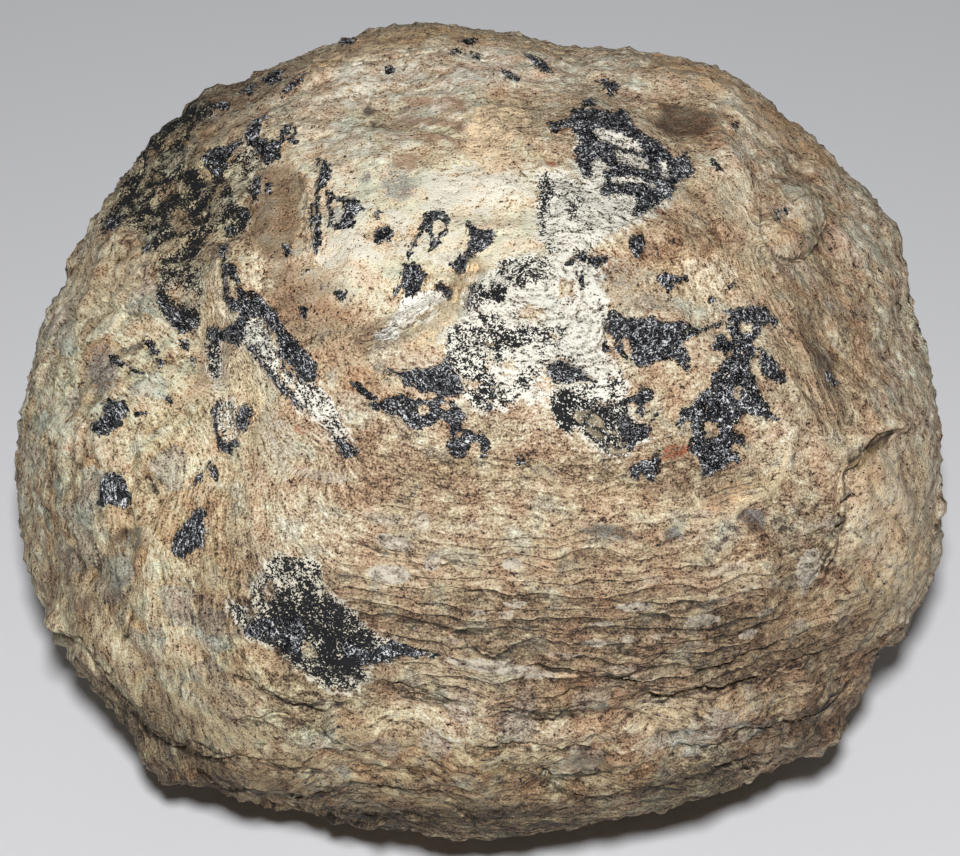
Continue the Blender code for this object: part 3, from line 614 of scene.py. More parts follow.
VEINS = [  # threads of pale lime: half width in mm, then their line
    (0.40, [(690, 520), (706, 522), (733, 516), (749, 500), (776, 488), (784, 467), (790, 447)]),
    (0.35, [(539, 466), (551, 482), (566, 492), (576, 515)]),
    (0.10, [(551, 482), (562, 470), (566, 462)]), (0.30, [(232, 380), (236, 396), (246, 402)]),
    (0.30, [(336, 404), (330, 392), (322, 384)]), (0.14, [(577, 411), (600, 432), (626, 459)]),
    (0.12, [(583, 410), (606, 430), (630, 455)]), (0.12, [(589, 410), (612, 430), (632, 450)]),
    (0.14, [(572, 414), (592, 434), (618, 458)]), (0.16, [(700, 336), (716, 328), (733, 323)]),
    (0.16, [(692, 180), (672, 196), (640, 217), (596, 248)]),
    (0.16, [(322, 158), (314, 190), (314, 225), (309, 262)]),
    (0.14, [(740, 178), (752, 206), (768, 232)]), (0.12, [(752, 250), (764, 290), (784, 330)]),
    (0.14, [(447, 300), (430, 325), (404, 346)]), (0.12, [(447, 300), (420, 315), (385, 335)]),
    (0.12, [(450, 302), (436, 334), (420, 350)]),
]
CREAM = [  # middle, half width, half height and tilt on the chart, then strength
    (430, 250, 110, 90, 0, 0.7), (715, 275, 42, 26, 10, 0.8), (360, 245, 45, 18, 0, 0.7),
    (530, 225, 30, 30, 0, 0.7), (215, 280, 13, 45, 0, 0.7), (245, 268, 18, 26, -20, 0.8),
    (255, 375, 26, 40, -20, 0.5), (175, 420, 26, 50, 0, 0.4), (300, 150, 30, 30, 0, 0.4),
    (470, 130, 60, 30, 0, 0.3), (585, 225, 40, 30, 0, 0.6), (620, 165, 30, 22, 0, 0.5),
    (120, 290, 60, 40, 30, 0.3), (640, 500, 60, 12, 5, 0.3), (480, 460, 90, 14, 0, 0.2),
    (750, 490, 44, 14, -20, 0.5), (460, 330, 30, 40, 20, 0.5), (90, 300, 40, 40, 0, 0.3),
]
CHALKY = [  # where lime paste dries white
    (395, 72, 75, 16, -4, 0.8), (350, 98, 50, 12, -10, 0.7), (430, 100, 40, 14, 10, 0.5),
    (410, 125, 30, 10, 0, 0.5), (340, 150, 40, 18, 0, 0.6), (478, 190, 62, 28, -5, 1.0),
    (385, 240, 60, 22, -10, 0.9), (330, 250, 30, 20, 0, 0.8), (450, 250, 30, 26, 0, 0.7),
    (500, 165, 30, 14, 0, 0.5), (540, 210, 24, 16, 0, 0.6), (300, 130, 22, 10, 0, 0.5),
    (560, 90, 30, 14, 0, 0.3), (360, 215, 40, 16, 0, 0.6), (425, 300, 40, 22, -35, 0.6),
    (250, 262, 16, 24, -15, 0.5), (225, 420, 12, 26, 0, 0.5), (700, 282, 50, 16, 0, 0.45),
    (665, 385, 26, 16, 0, 0.35), (455, 470, 50, 16, 0, 0.3), (330, 470, 40, 14, 10, 0.4),
    (415, 455, 50, 12, 0, 0.4), (300, 520, 30, 30, 0, 0.3), (170, 420, 26, 34, 0, 0.4),
    (120, 265, 50, 16, -10, 0.3), (180, 690, 50, 30, 30, 0.2), (700, 345, 40, 16, 0, 0.3),
    (740, 460, 30, 10, 0, 0.3), (580, 345, 30, 50, 0, 0.8), (470, 60, 40, 10, 10, 0.5),
    (250, 480, 16, 40, 0, 0.3), (520, 500, 60, 16, 0, 0.2),
]
BROWN = [
    (280, 207, 32, 48, 0, 0.6), (306, 306, 44, 46, 0, 0.6), (432, 160, 16, 12, 0, 0.6),
    (516, 122, 28, 40, 10, 0.6), (680, 235, 60, 50, 30, 0.6), (352, 360, 50, 50, 30, 0.7),
    (570, 130, 26, 30, 0, 0.4), (690, 120, 45, 26, 20, 0.7), (820, 290, 50, 130, -20, 0.5),
    (400, 480, 110, 40, 10, 0.3), (600, 560, 200, 50, 0, 0.25), (222, 540, 22, 90, 0, 0.5),
    (700, 420, 60, 60, 0, 0.5), (640, 470, 60, 30, 0, 0.2), (560, 470, 60, 20, 0, 0.2),
    (800, 660, 90, 90, 0, 0.5), (420, 790, 300, 40, 0, 0.5), (95, 560, 60, 90, 0, 0.3),
    (540, 158, 12, 10, 0, 0.7), (590, 720, 160, 30, 0, 0.3),
]
GREY = [
    (102, 370, 18, 30, 0, 0.7), (398, 186, 20, 20, 0, 0.7), (365, 178, 7, 7, 0, 0.8),
    (660, 300, 24, 12, 0, 0.5), (828, 524, 18, 14, 0, 0.5), (620, 275, 24, 16, 0, 0.5),
    (753, 517, 16, 13, 0, 0.5), (675, 536, 12, 8, 0, 0.5), (605, 533, 30, 7, 4, 0.45),
    (125, 565, 14, 40, 10, 0.45), (76, 576, 15, 28, 0, 0.35), (270, 440, 26, 60, 0, 0.35),
    (190, 390, 20, 30, 0, 0.3), (245, 268, 14, 16, 0, 0.3), (335, 215, 16, 12, 0, 0.5),
]
STAINS_AND_SHADOWS = [  # colour, strength and soft edge in mm, then the outline; the two in the deep notch on the right are painted shadow
    ("#35322F", 0.8, 0.3, [(736, 508), (752, 502), (770, 512), (767, 528), (748, 532), (736, 522)]),
    ("#35322F", 0.8, 0.3, [(663, 531), (678, 526), (688, 537), (677, 546), (664, 543)]),
    ("#4A4641", 0.8, 0.3, [(568, 531), (596, 525), (625, 528), (638, 538), (600, 541)]),
    ("#5F4934", 0.65, 0.4, [(252, 178), (268, 166), (290, 164), (303, 176), (304, 215), (298, 245),
        (285, 262), (262, 258), (250, 232), (248, 205)]),
    ("#6E4E3A", 0.5, 0.6, [(268, 268), (296, 262), (330, 268), (352, 290), (346, 320), (330, 344),
        (305, 338), (288, 322), (272, 300)]),
    ("#8A6A4E", 0.4, 1.2, [(310, 345), (345, 330), (385, 340), (400, 362), (380, 372), (350, 380),
        (325, 375)]),
    ("#CBB392", 0.9, 0.2, [(478, 101), (505, 98), (526, 100), (530, 108), (520, 131), (506, 160),
        (500, 178), (481, 172), (465, 158), (465, 140)]),
    ("#8B6A50", 0.8, 0.5, [(392, 158), (404, 152), (420, 156), (424, 164), (412, 172), (398, 170)]),
    ("#8A6A55", 0.8, 0.25, [(388, 98), (430, 93), (462, 103), (472, 112), (440, 110), (410, 106)]),
    ("#7A5B48", 0.8, 0.25, [(398, 117), (430, 113), (470, 124), (466, 133), (430, 126), (400, 127)]),
    ("#8A6A55", 0.75, 0.25, [(412, 134), (440, 131), (467, 138), (462, 147), (430, 144)]),
    ("#4A423A", 0.9, 0.12, [(356, 104), (366, 108), (374, 106), (379, 113), (370, 117), (361, 114)]),
    ("#4A423A", 0.9, 0.12, [(366, 120), (378, 121), (387, 127), (374, 129)]),
    ("#B08A58", 0.6, 1.5, [(300, 60), (360, 34), (440, 20), (520, 30), (590, 44), (580, 62), (520, 52),
        (440, 44), (370, 56), (310, 78)]),
    ("#26241F", 0.7, 0.4, [(107, 535), (120, 528), (140, 522), (146, 540), (140, 556), (128, 545),
        (110, 540)]),
    ("#26241F", 0.7, 0.5, [(60, 545), (75, 543), (78, 556), (64, 558)]),
    ("#26241F", 0.7, 0.5, [(70, 562), (84, 560), (86, 575), (74, 577)]),
    ("#26241F", 0.7, 0.5, [(76, 596), (94, 594), (96, 610), (80, 612)]),
    ("#26241F", 0.7, 0.5, [(110, 578), (126, 574), (130, 598), (114, 602)]),
    ("#87806F", 0.6, 0.4, [(112, 286), (121, 287), (131, 294), (139, 303), (140, 314), (135, 318),
        (124, 311), (117, 299)]),
    ("#8E7563", 0.6, 1.0, [(196, 118), (222, 108), (244, 116), (240, 138), (212, 142)]),
    ("#2E2C2A", 0.6, 0.4, [(560, 758), (585, 752), (618, 756), (616, 770), (592, 778), (566, 772)]),
    ("#6A6458", 0.5, 3.0, [(380, 800), (500, 822), (620, 812), (700, 790), (790, 750), (800, 735),
        (700, 770), (600, 792), (500, 800)]),
    # painted shadow under the overhang of the deep notch, and down the notch below it
    ("#15110D", 0.97, 0.15, [(897, 431), (882, 434), (868, 443), (857, 455), (850, 467), (849, 482),
        (855, 478), (862, 464), (872, 454), (886, 443)]),
    ("#2A231C", 0.9, 0.2, [(845, 482), (851, 480), (850, 500), (844, 520), (836, 540), (833, 536),
        (842, 512)]),
    ("#B59A7B", 0.55, 1.0, [(690, 176), (722, 182), (745, 215), (748, 245), (705, 252), (668, 232),
        (655, 215)]),
    ("#D9CCB4", 0.7, 1.4, [(680, 258), (716, 252), (738, 262), (742, 290), (722, 302), (692, 296),
        (676, 278)]),
    ("#2E2822", 0.75, 0.8, [(655, 106), (690, 104), (722, 108), (724, 120), (705, 134), (672, 138),
        (655, 128)]),
    ("#B07F48", 0.65, 2.0, [(655, 48), (720, 62), (770, 95), (815, 135), (850, 170), (832, 180),
        (780, 140), (730, 100), (670, 84), (640, 66)]),
    ("#C6BCA9", 0.5, 1.5, [(742, 148), (772, 150), (790, 170), (772, 200), (750, 190), (740, 170)]),
    ("#BFA887", 0.6, 0.6, [(690, 250), (655, 262), (640, 300), (655, 306), (690, 300), (676, 278)]),
    ("#A08C76", 0.5, 0.8, [(600, 268), (640, 262), (652, 290), (640, 312), (612, 306)]),
    ("#C9B08A", 0.7, 0.3, [(420, 330), (440, 300), (462, 290), (455, 315), (432, 345), (404, 352)]),
    ("#CDB18A", 0.9, 0.3, [(466, 300), (462, 285), (470, 262), (482, 254), (478, 280), (472, 298)]),
    ("#E9E6DC", 0.9, 0.4, [(372, 340), (400, 300), (440, 288), (446, 296), (420, 320), (386, 345)]),
    ("#C9BFA9", 0.8, 0.4, [(370, 352), (392, 345), (410, 352), (396, 362), (374, 362)]),
    ("#D6C4A4", 0.9, 0.25, [(262, 124), (275, 121), (283, 130), (274, 140), (262, 138)]),
    ("#D9C9AC", 0.8, 0.3, [(297, 126), (320, 124), (342, 128), (340, 140), (312, 141), (298, 136)]),
    ("#7E6850", 0.55, 1.5, [(200, 120), (235, 108), (262, 112), (248, 132), (240, 142), (205, 152),
        (188, 146)]),
    ("#6C675C", 0.6, 1.5, [(200, 100), (240, 80), (300, 66), (306, 76), (284, 98), (258, 112),
        (212, 116)]),
    ("#CDBDA4", 0.75, 0.6, [(205, 240), (218, 244), (222, 300), (232, 330), (214, 322), (206, 290)]),
    ("#DDD2B6", 0.7, 0.6, [(238, 244), (262, 250), (272, 290), (256, 290), (242, 284), (236, 264)]),
    ("#D2C2A0", 0.65, 0.8, [(224, 348), (248, 350), (262, 378), (276, 400), (262, 420), (244, 400),
        (226, 392)]),
    ("#B9AFA0", 0.6, 1.0, [(264, 392), (284, 404), (300, 440), (296, 480), (272, 470), (262, 430)]),
    ("#BE9866", 0.5, 1.0, [(246, 400), (258, 392), (264, 430), (256, 460), (246, 440)]),
    ("#CDBB98", 0.75, 0.3, [(782, 446), (791, 446), (786, 474), (770, 492), (742, 508), (718, 522),
        (696, 525), (688, 514), (700, 517), (730, 506), (764, 484), (778, 470)]),
    ("#B48E6C", 0.6, 0.4, [(702, 500), (730, 484), (764, 480), (744, 498), (718, 512), (702, 512)]),
    ("#8E6E54", 0.5, 0.8, [(636, 486), (672, 478), (700, 484), (690, 496), (660, 502), (640, 500)]),
    ("#AC9068", 0.6, 3.0, [(850, 450), (930, 440), (942, 560), (900, 620), (850, 640), (845, 540)]),
    ("#8F887D", 0.6, 1.5, [(858, 530), (880, 528), (892, 548), (876, 562), (860, 556)]),
    ("#C2B8A8", 0.9, 0.25, [(812, 545), (820, 552), (817, 575), (806, 590), (797, 596), (797, 580),
        (802, 558)]),
    ("#8A7355", 0.6, 1.2, [(196, 560), (214, 560), (220, 600), (212, 640), (198, 640), (192, 600)]),
    ("#B5A488", 0.6, 2.0, [(60, 250), (110, 235), (150, 262), (150, 300), (100, 330), (60, 320)]),
    ("#A99F90", 0.5, 1.0, [(114, 285), (128, 292), (140, 306), (138, 318), (122, 312), (114, 298)]),
    ("#6B5F52", 0.8, 0.8, [(808, 344), (832, 350), (840, 380), (826, 378), (806, 360)]),
    ("#93805F", 0.5, 3.0, [(100, 640), (200, 650), (260, 700), (300, 760), (200, 760), (130, 700)]),
    ("#6A5C4A", 0.6, 2.5, [(160, 745), (260, 765), (400, 785), (520, 800), (640, 790), (600, 820),
        (400, 825), (240, 800)]),
    ("#7A7062", 0.6, 2.0, [(720, 735), (780, 725), (830, 700), (840, 720), (820, 760), (760, 775),
        (720, 780)]),
    ("#C3AE8B", 0.7, 1.0, [(636, 712), (660, 702), (680, 706), (690, 722), (672, 738), (640, 735)]),
    ("#A78A68", 0.6, 1.2, [(332, 712), (352, 706), (372, 712), (378, 735), (360, 752), (336, 745)]),
    ("#B39A78", 0.6, 1.2, [(380, 715), (402, 708), (420, 722), (415, 745), (392, 752), (380, 738)]),
]
LAYERED = [  # where the beds show as laminae
    (560, 625, 330, 95, 4, 1.0), (820, 640, 100, 110, -40, 0.8), (480, 790, 330, 60, 0, 0.6),
    (835, 330, 40, 130, -18, 0.5), (540, 495, 270, 44, 0, 0.5), (450, 45, 160, 30, 0, 0.4),
    (120, 690, 100, 40, 40, 0.3), (330, 470, 60, 50, 40, 0.4), (430, 120, 60, 26, 0, 0.7),
    (790, 210, 60, 80, -20, 0.7),
]
PATCHY = [  # where it is a paste of roots and stems cut every way
    (110, 420, 110, 190, 0, 1.0), (370, 400, 60, 70, 0, 0.4), (900, 520, 50, 80, 0, 0.5),
    (760, 520, 70, 30, 0, 0.6), (600, 735, 330, 50, 0, 0.8), (800, 220, 60, 120, 0, 0.4),
    (180, 620, 90, 60, 20, 0.9), (160, 190, 80, 90, -20, 0.9), (860, 330, 50, 100, -15, 0.5),
    (420, 110, 130, 40, 0, 0.5), (640, 280, 60, 40, 0, 0.4), (290, 740, 120, 40, 20, 0.6),
]
WHORLS = [  # where beds wrap round a lump: a place and how many mm deeper the beds lie there
    (785, 206, 30, 46, -22, 8), (855, 224, 16, 28, -15, 5), (346, 727, 28, 24, 0, 4),
    (398, 725, 24, 22, 0, 4), (658, 722, 34, 20, -10, 4), (168, 490, 26, 34, 0, 4),
    (308, 456, 30, 22, 0, 5), (418, 82, 44, 30, 0, 5), (880, 350, 22, 34, -10, 4),
    (92, 300, 30, 30, 0, 4), (300, 320, 34, 30, 0, 3), (590, 745, 30, 18, 0, 3),
]
SOOTY = [
    (165, 185, 90, 105, -25, 1.0), (186, 310, 36, 40, 0, 0.7), (320, 625, 90, 80, 30, 0.35),
]
OLIVE = [
    (110, 470, 130, 220, 0, 1.0), (240, 720, 190, 90, 20, 1.0), (430, 200, 130, 90, 0, 0.7),
    (480, 795, 320, 45, 0, 1.0), (240, 450, 60, 90, 0, 0.7), (170, 180, 80, 100, -20, 0.8),
]
CRISP = [
    (470, 420, 330, 300, 0, 1.0),
]
TONE_AND_SHADE = [  # lighter stone, or darker if below nought; those on the lower rim are painted shade
    (580, 632, 240, 44, 4, -0.17), (790, 640, 60, 26, -20, 0.08), (775, 745, 70, 30, -25, -0.16),
    (300, 600, 56, 36, 0, -0.1), (722, 262, 46, 34, 0, -0.06), (370, 140, 90, 42, -5, 0.15),
    (380, 72, 120, 30, -5, 0.11), (670, 75, 80, 30, 10, 0.10), (900, 540, 50, 80, 0, 0.08),
    (850, 310, 40, 80, -15, 0.05), (100, 350, 70, 90, 0, 0.09), (495, 210, 80, 44, 0, 0.2),
    (415, 240, 80, 80, 0, 0.1), (835, 195, 30, 60, -30, 0.12), (228, 600, 34, 56, 0, -0.09),
    (280, 210, 24, 40, 0, 0.08), (540, 60, 70, 30, 0, 0.08), (480, 785, 200, 30, 0, -0.05),
    (455, 450, 100, 34, 0, -0.12), (640, 460, 100, 36, 0, -0.09), (240, 92, 70, 15, -22, -0.22),
    (160, 180, 60, 90, -25, -0.16), (800, 380, 30, 60, -20, -0.06), (100, 560, 70, 60, 0, 0.05),
    (180, 420, 60, 60, 0, 0.06), (500, 100, 60, 46, 0, 0.13), (762, 205, 38, 105, -15, 0.15),
    (334, 225, 30, 62, 0, 0.12), (905, 380, 36, 150, 0, 0.08), (792, 525, 42, 44, 0, -0.2),
    (480, 562, 130, 26, 0, 0.1), (330, 680, 66, 50, 0, -0.14), (150, 748, 100, 40, 35, -0.3),
    (430, 832, 240, 22, 0, -0.3), (690, 785, 50, 22, -20, -0.22), (48, 400, 32, 90, 0, 0.09),
    (140, 440, 30, 20, 0, -0.08),
]
RUST = [
    (552, 164, 8, 5, 0, 0.75), (674, 452, 16, 9, -20, 0.8), (655, 466, 9, 6, 0, 0.6),
    (300, 428, 8, 10, 0, 0.5), (83, 450, 22, 10, 10, 0.4),
]


def patches(x, y, spots):
    """How strongly soft patches of one colour show at each chart place."""
    total = np.zeros(len(x))
    for *place, strength in spots:
        total = np.maximum(total, strength * smooth_step(1.5, 0.5, oval(x, y, *place)))
    return total


def shades(x, y, spots):
    return sum(strength * smooth_step(1.6, 0.6, oval(x, y, *place)) for *place, strength in spots)


def ellipses(x, y, lenses):
    """Distance in mm into the nearest lens, and how pale that lens is."""
    depth, paleness = np.full(len(x), -4.0), np.zeros(len(x))
    for middle_x, middle_y, wide, high, tilt, pale in lenses:
        reach = oval(x, y, middle_x, middle_y, wide / 2, high / 2, tilt)
        here = (1 - reach) * min(wide, high) / 2 * STEP
        paleness = np.where(here > depth, pale, paleness)
        depth = np.maximum(depth, here)
    return depth, paleness


def paint(code):
    """A colour from its sRGB hex code, as linear values."""
    parts = [int(code[at:at + 2], 16) / 255 for at in (1, 3, 5)]
    return (*[part / 12.92 if part <= 0.04045 else ((part + 0.055) / 1.055) ** 2.4 for part in parts], 1)


def mark(mesh):
    """Stores on the mesh where each kind of matter lies."""
    points, normals = points_of(mesh), normals_of(mesh)
    to_eye = OUT * EYE_AWAY - points
    facing = (normals * to_eye).sum(1) / np.linalg.norm(to_eye, axis=1)
    x, y = chart(points)
    seen = smooth_step(-0.25, -0.1, facing)
    coal = np.max([inside(x, y, outline) for outline in COAL], 0)
    coal = np.where(facing > -0.2, coal, -4)
    dusted, black = np.full(len(x), -4.0), np.zeros(len(x))
    for share, outline in DUSTED:
        depth = inside(x, y, outline)
        black += (share - black) * smooth_step(-0.4, 0.4, depth)
        dusted = np.maximum(dusted, depth)
    bare = np.max([inside(x, y, outline) for outline in BARE], 0)
    coal = np.minimum(coal, -np.max([bare, *(inside(x, y, outline) for outline in HOLES)], 0))
    dusted = np.where(facing > -0.2, np.minimum(dusted, -bare), -4)
    moved, nearest, opening = cracks(points)
    beds = bed_depths(points)
    beds += sum(deeper * np.exp(-oval(x, y, *place) ** 2) for *place, deeper in WHORLS) * seen
    fibrous = np.zeros(len(x))
    for reach, line in FIBRES:
        across, share = from_line(x, y, line)
        held = smooth_step(reach * 1.3, reach * 0.6, np.abs(across)) * seen
        held *= smooth_step(0, 0.12, share) * smooth_step(1, 0.88, share)
        beds = beds * (1 - held) + (40 + across * 2) * held
        fibrous = np.maximum(fibrous, held)
    lens, lens_pale = ellipses(x, y, LENSES)
    lens = np.where(facing > -0.2, lens, -4)
    around = smooth_step(0.1, -0.1, facing)
    layered = np.maximum.reduce([
        patches(x, y, LAYERED) * seen, 0.3 * smooth_step(30, 40, beds),
        0.75 * smooth_step(0.0, -0.25, facing), 0.9 * fibrous,
    ])
    found = {
        "bed": beds, "coal": coal, "dusted": dusted, "black_share": black, "lens": lens,
        "lens_pale": lens_pale,
        "cream": patches(x, y, CREAM) * seen, "brown": patches(x, y, BROWN) * seen,
        "grey": patches(x, y, GREY) * seen, "rust": patches(x, y, RUST) * seen,
        "tone_and_shade": shades(x, y, TONE_AND_SHADE) * seen, "chalky": patches(x, y, CHALKY) * seen,
        "sooty": patches(x, y, SOOTY) * seen, "crisp": patches(x, y, CRISP) * seen,
        "olive": np.maximum(patches(x, y, OLIVE) * seen, 0.4 * around),
        "crack": nearest, "opening": opening * seen, "away": smooth_step(0.12, -0.12, facing),
        "layered": layered, "patchy": np.maximum(patches(x, y, PATCHY) * seen, 0.5 * around),
        "carved": moved * seen + 0.35 * smooth_step(0, 0.4, lens),
        "low": smooth_step(0, 3, points[:, 2] + MIDDLE[2]),
        "vein": np.min([np.abs(from_line(x, y, line)[0]) - width for width, line in VEINS], 0),
    }
    for name, values in found.items():
        store(mesh, name, values)
    return found, facing


def store_stains_and_shadows(mesh):
    """Stores on the mesh the colour and strength of its stains and of its painted shadows."""
    points = points_of(mesh)
    x, y = chart(points + np.stack([noise(points, 2.6, seed) for seed in (31, 32, 33)], 1) * 0.9)
    seen = smooth_step(-0.25, -0.1, (normals_of(mesh) * (OUT * EYE_AWAY - points)).sum(1) / EYE_AWAY)
    stain_and_shadow = np.zeros((len(x), 4))
    for code, strength, soft, outline in STAINS_AND_SHADOWS:
        share = strength * smooth_step(-soft, soft, inside(x, y, outline)) * seen
        stain_and_shadow[:, :3] += (np.array(paint(code)[:3]) - stain_and_shadow[:, :3]) * share[:, None]
        stain_and_shadow[:, 3] = np.maximum(stain_and_shadow[:, 3], share)
    stain_and_shadow[:, :3] /= stain_and_shadow[:, 3:].clip(0.02)
    kept = mesh.attributes.new("stain_and_shadow", "FLOAT_COLOR", "POINT")
    kept.data.foreach_set("color", np.ascontiguousarray(stain_and_shadow.clip(0, 1), np.float32).ravel())


found, facing = mark(stone.data)


def add(tree, kind, inputs=(), **settings):
    """Adds a node; each input is a value, or the socket or node that feeds it."""
    made = tree.nodes.new(kind)
    for name, value in settings.items():
        setattr(made, name, value)
    for name, value in dict(inputs).items():
        if isinstance(value, bpy.types.Node):
            value = next(out for out in value.outputs if out.enabled)
        if isinstance(value, bpy.types.NodeSocket):
            tree.links.new(value, made.inputs[name])
        else:
            made.inputs[name].default_value = value
    return made


def ask(tree, name, kind, value):
    made = tree.interface.new_socket(name=name, in_out="INPUT", socket_type=kind)
    if value is not None:
        made.default_value = value
    return made.identifier


# Relief too fine for the solid: lumps, laminae that stand out and weather back,
# grains and pits, and coal skins that stand a third of a millimetre proud.
relief = bpy.data.node_groups.new("relief", "GeometryNodeTree")
relief.interface.new_socket(name="Geometry", in_out="OUTPUT", socket_type="NodeSocketGeometry")
asked = {"Geometry": ask(relief, "Geometry", "NodeSocketGeometry", None)}
RELIEF = {  # mm
    "Lump Size": 9.0, "Lump Height": 0.45, "Knob Size": 3.2, "Knob Height": 0.36, "Grain Size": 1.2,
    "Grain Height": 0.26, "Lamina Spacing": 1.7, "Lamina Height": 0.5, "Cell Size": 4.6,
    "Cell Height": 0.48, "Coal Height": 0.34, "Fold Size": 2.2,
}
SET_IN = 0.35  # mm, how far all of it is set in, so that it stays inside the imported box
for name in RELIEF:
    asked[name] = ask(relief, name, "NodeSocketFloat", 1.0)
asked["Flesh"] = ask(relief, "Flesh", "NodeSocketMaterial", None)
given = relief.nodes.new("NodeGroupInput").outputs


def math(tree, operation, *parts):
    return add(tree, "ShaderNodeMath", dict(enumerate(parts)), operation=operation).outputs[0]


def sum_of(tree, *parts):
    total = parts[0]
    for part in parts[1:]:
        total = math(tree, "ADD", total, part)
    return total


def times(tree, *parts):
    total = parts[0]
    for part in parts[1:]:
        total = math(tree, "MULTIPLY", total, part)
    return total


def spread(tree, value, low, high, bottom=0.0, top=1.0, clamp=True):
    return add(tree, "ShaderNodeMapRange", {"Value": value, 1: low, 2: high, 3: bottom, 4: top},
               clamp=clamp).outputs["Result"]


def scaled(tree, vector, size):
    return add(tree, "ShaderNodeVectorMath", {0: vector, "Scale": math(tree, "DIVIDE", 1.0, size)},
               operation="SCALE").outputs["Vector"]


def mottle(tree, vector, size, detail=2.0, roughness=0.6, seed=0.0):
    """Noise in blobs about size mm across, from 0 to 1 and about 0.5 on average."""
    moved = add(tree, "ShaderNodeVectorMath", {0: vector, 1: (seed, seed * 1.7, seed * 2.3)}, operation="ADD")
    return add(tree, "ShaderNodeTexNoise", {"Vector": scaled(tree, moved, size), "Scale": 1.0,
                                            "Detail": detail, "Roughness": roughness}).outputs["Fac"]


def cells_of(tree, mm, ragged, middling, size, feature="F1"):
    """Roundish bits of root and stem packed together."""
    jitter = add(tree, "ShaderNodeCombineXYZ", {0: times(tree, ragged, 2.4), 1: times(tree, middling, 3.0)})
    moved = add(tree, "ShaderNodeVectorMath", {0: mm, 1: jitter}, operation="ADD")
    return add(tree, "ShaderNodeTexVoronoi", {"Vector": scaled(tree, moved, size), "Scale": 1.0},
               feature=feature)


def named(name):
    return add(relief, "GeometryNodeInputNamedAttribute", {"Name": name},
               data_type="FLOAT").outputs["Attribute"]


def rough(value, height):
    """Noise as mm of relief, up and down."""
    return times(relief, spread(relief, value, 0.25, 0.75, -1.0, 1.0, clamp=False), height)


def flowing(tree, apart, bent, stretch):
    """Places squeezed along the beds, so that noise there is stretched by that much."""
    return add(tree, "ShaderNodeCombineXYZ", {0: math(tree, "DIVIDE", apart.outputs[0], stretch),
                                              1: math(tree, "DIVIDE", apart.outputs[1], stretch), 2: bent})


place = add(relief, "ShaderNodeVectorMath", {0: add(relief, "GeometryNodeInputPosition"), "Scale": 1000.0},
            operation="SCALE").outputs["Vector"]
apart = add(relief, "ShaderNodeSeparateXYZ", {0: place})
bent = sum_of(relief, named("bed"),
              times(relief, mottle(relief, place, given["Lump Size"], 1.0, seed=4.0), 4.0))
sway = mottle(relief, flowing(relief, apart, bent, 5.0), 3.2, 1.0, seed=6.0)
broad = mottle(relief, place, 16.0, 2.0, seed=1.0)
middling = mottle(relief, place, 3.6, 2.0, seed=2.0)
run = sum_of(relief, math(relief, "DIVIDE", bent, given["Lamina Spacing"]), times(relief, sway, 2.6),
             times(relief, middling, 0.7))
through = math(relief, "FRACT", run)
random = add(relief, "ShaderNodeTexWhiteNoise", {"W": math(relief, "FLOOR", run)}, noise_dimensions="1D")
random = random.outputs["Value"]
ragged = mottle(relief, flowing(relief, apart, bent, 1.5), 0.9, 3.0, 0.66, seed=11.0)
lumps = rough(mottle(relief, place, given["Lump Size"], 2.0, seed=3.0), given["Lump Height"])
knobs = rough(mottle(relief, place, given["Knob Size"], 2.0, seed=5.0), given["Knob Height"])
grains = rough(mottle(relief, place, given["Grain Size"], 1.0, seed=7.0), given["Grain Height"])
lamina = sum_of(relief, spread(relief, through, 0.0, 1.0, -0.5, 0.5),
                spread(relief, random, 0.0, 1.0, -0.5, 0.5))
lamina = times(relief, lamina, given["Lamina Height"], spread(relief, broad, 0.38, 0.56, 0.25, 1.0),
               spread(relief, middling, 0.35, 0.6, 0.3, 1.0))
cell_edge = cells_of(relief, place, ragged, middling, given["Cell Size"],
                     "DISTANCE_TO_EDGE").outputs["Distance"]
seam = times(relief, cell_edge, given["Cell Size"])
domed = times(relief, spread(relief, seam, 0.0, 0.9, -0.6, 0.4), given["Cell Height"], named("patchy"))
on_coal = spread(relief, named("coal"), -0.1, 0.3)
folds = mottle(relief, place, given["Fold Size"], 2.0, seed=9.0)
folds = spread(relief, math(relief, "ABSOLUTE", math(relief, "SUBTRACT", folds, 0.5)), 0.0, 0.1, 1.5, 0.3)
coal_out = times(relief, on_coal, folds, given["Coal Height"])
calm = spread(relief, named("layered"), 0.0, 1.0, 1.0, 0.5)
wild = spread(relief, named("away"), 0.4, 1.0, 1.0, 2.2)
height = sum_of(relief, times(relief, sum_of(relief, lumps, knobs), calm, wild), grains, domed,
                times(relief, lamina, named("layered")))
whole = times(relief, sum_of(relief, height, coal_out, named("carved"), -SET_IN), named("low"), 0.001)
offset = add(relief, "ShaderNodeVectorMath", {0: add(relief, "GeometryNodeInputNormal"), "Scale": whole},
             operation="SCALE")
kept = given["Geometry"]
for name, value in (("height", height), ("seam", seam), ("bent", bent), ("run", run), ("broad", broad),
                    ("middling", middling)):
    kept = add(relief, "GeometryNodeStoreNamedAttribute", {"Geometry": kept, "Name": name, "Value": value},
               domain="POINT")
pushed = add(relief, "GeometryNodeSetPosition", {"Geometry": kept, "Offset": offset})
real = add(relief, "GeometryNodeRealizeInstances", {"Geometry": pushed})
clad = add(relief, "GeometryNodeSetMaterial", {"Geometry": real, "Material": given["Flesh"]})
add(relief, "NodeGroupOutput", {"Geometry": clad})

# Petrified peat: limestone stained tan and brown, sawn by nature and not by hand.
rock = bpy.data.materials.new("petrified_peat")
rock.use_nodes = True

pushing = stone.modifiers.new("relief", "NODES")
pushing.node_group = relief
for name, value in RELIEF.items():
    pushing[asked[name]] = value
pushing[asked["Flesh"]] = rock
baked(stone)


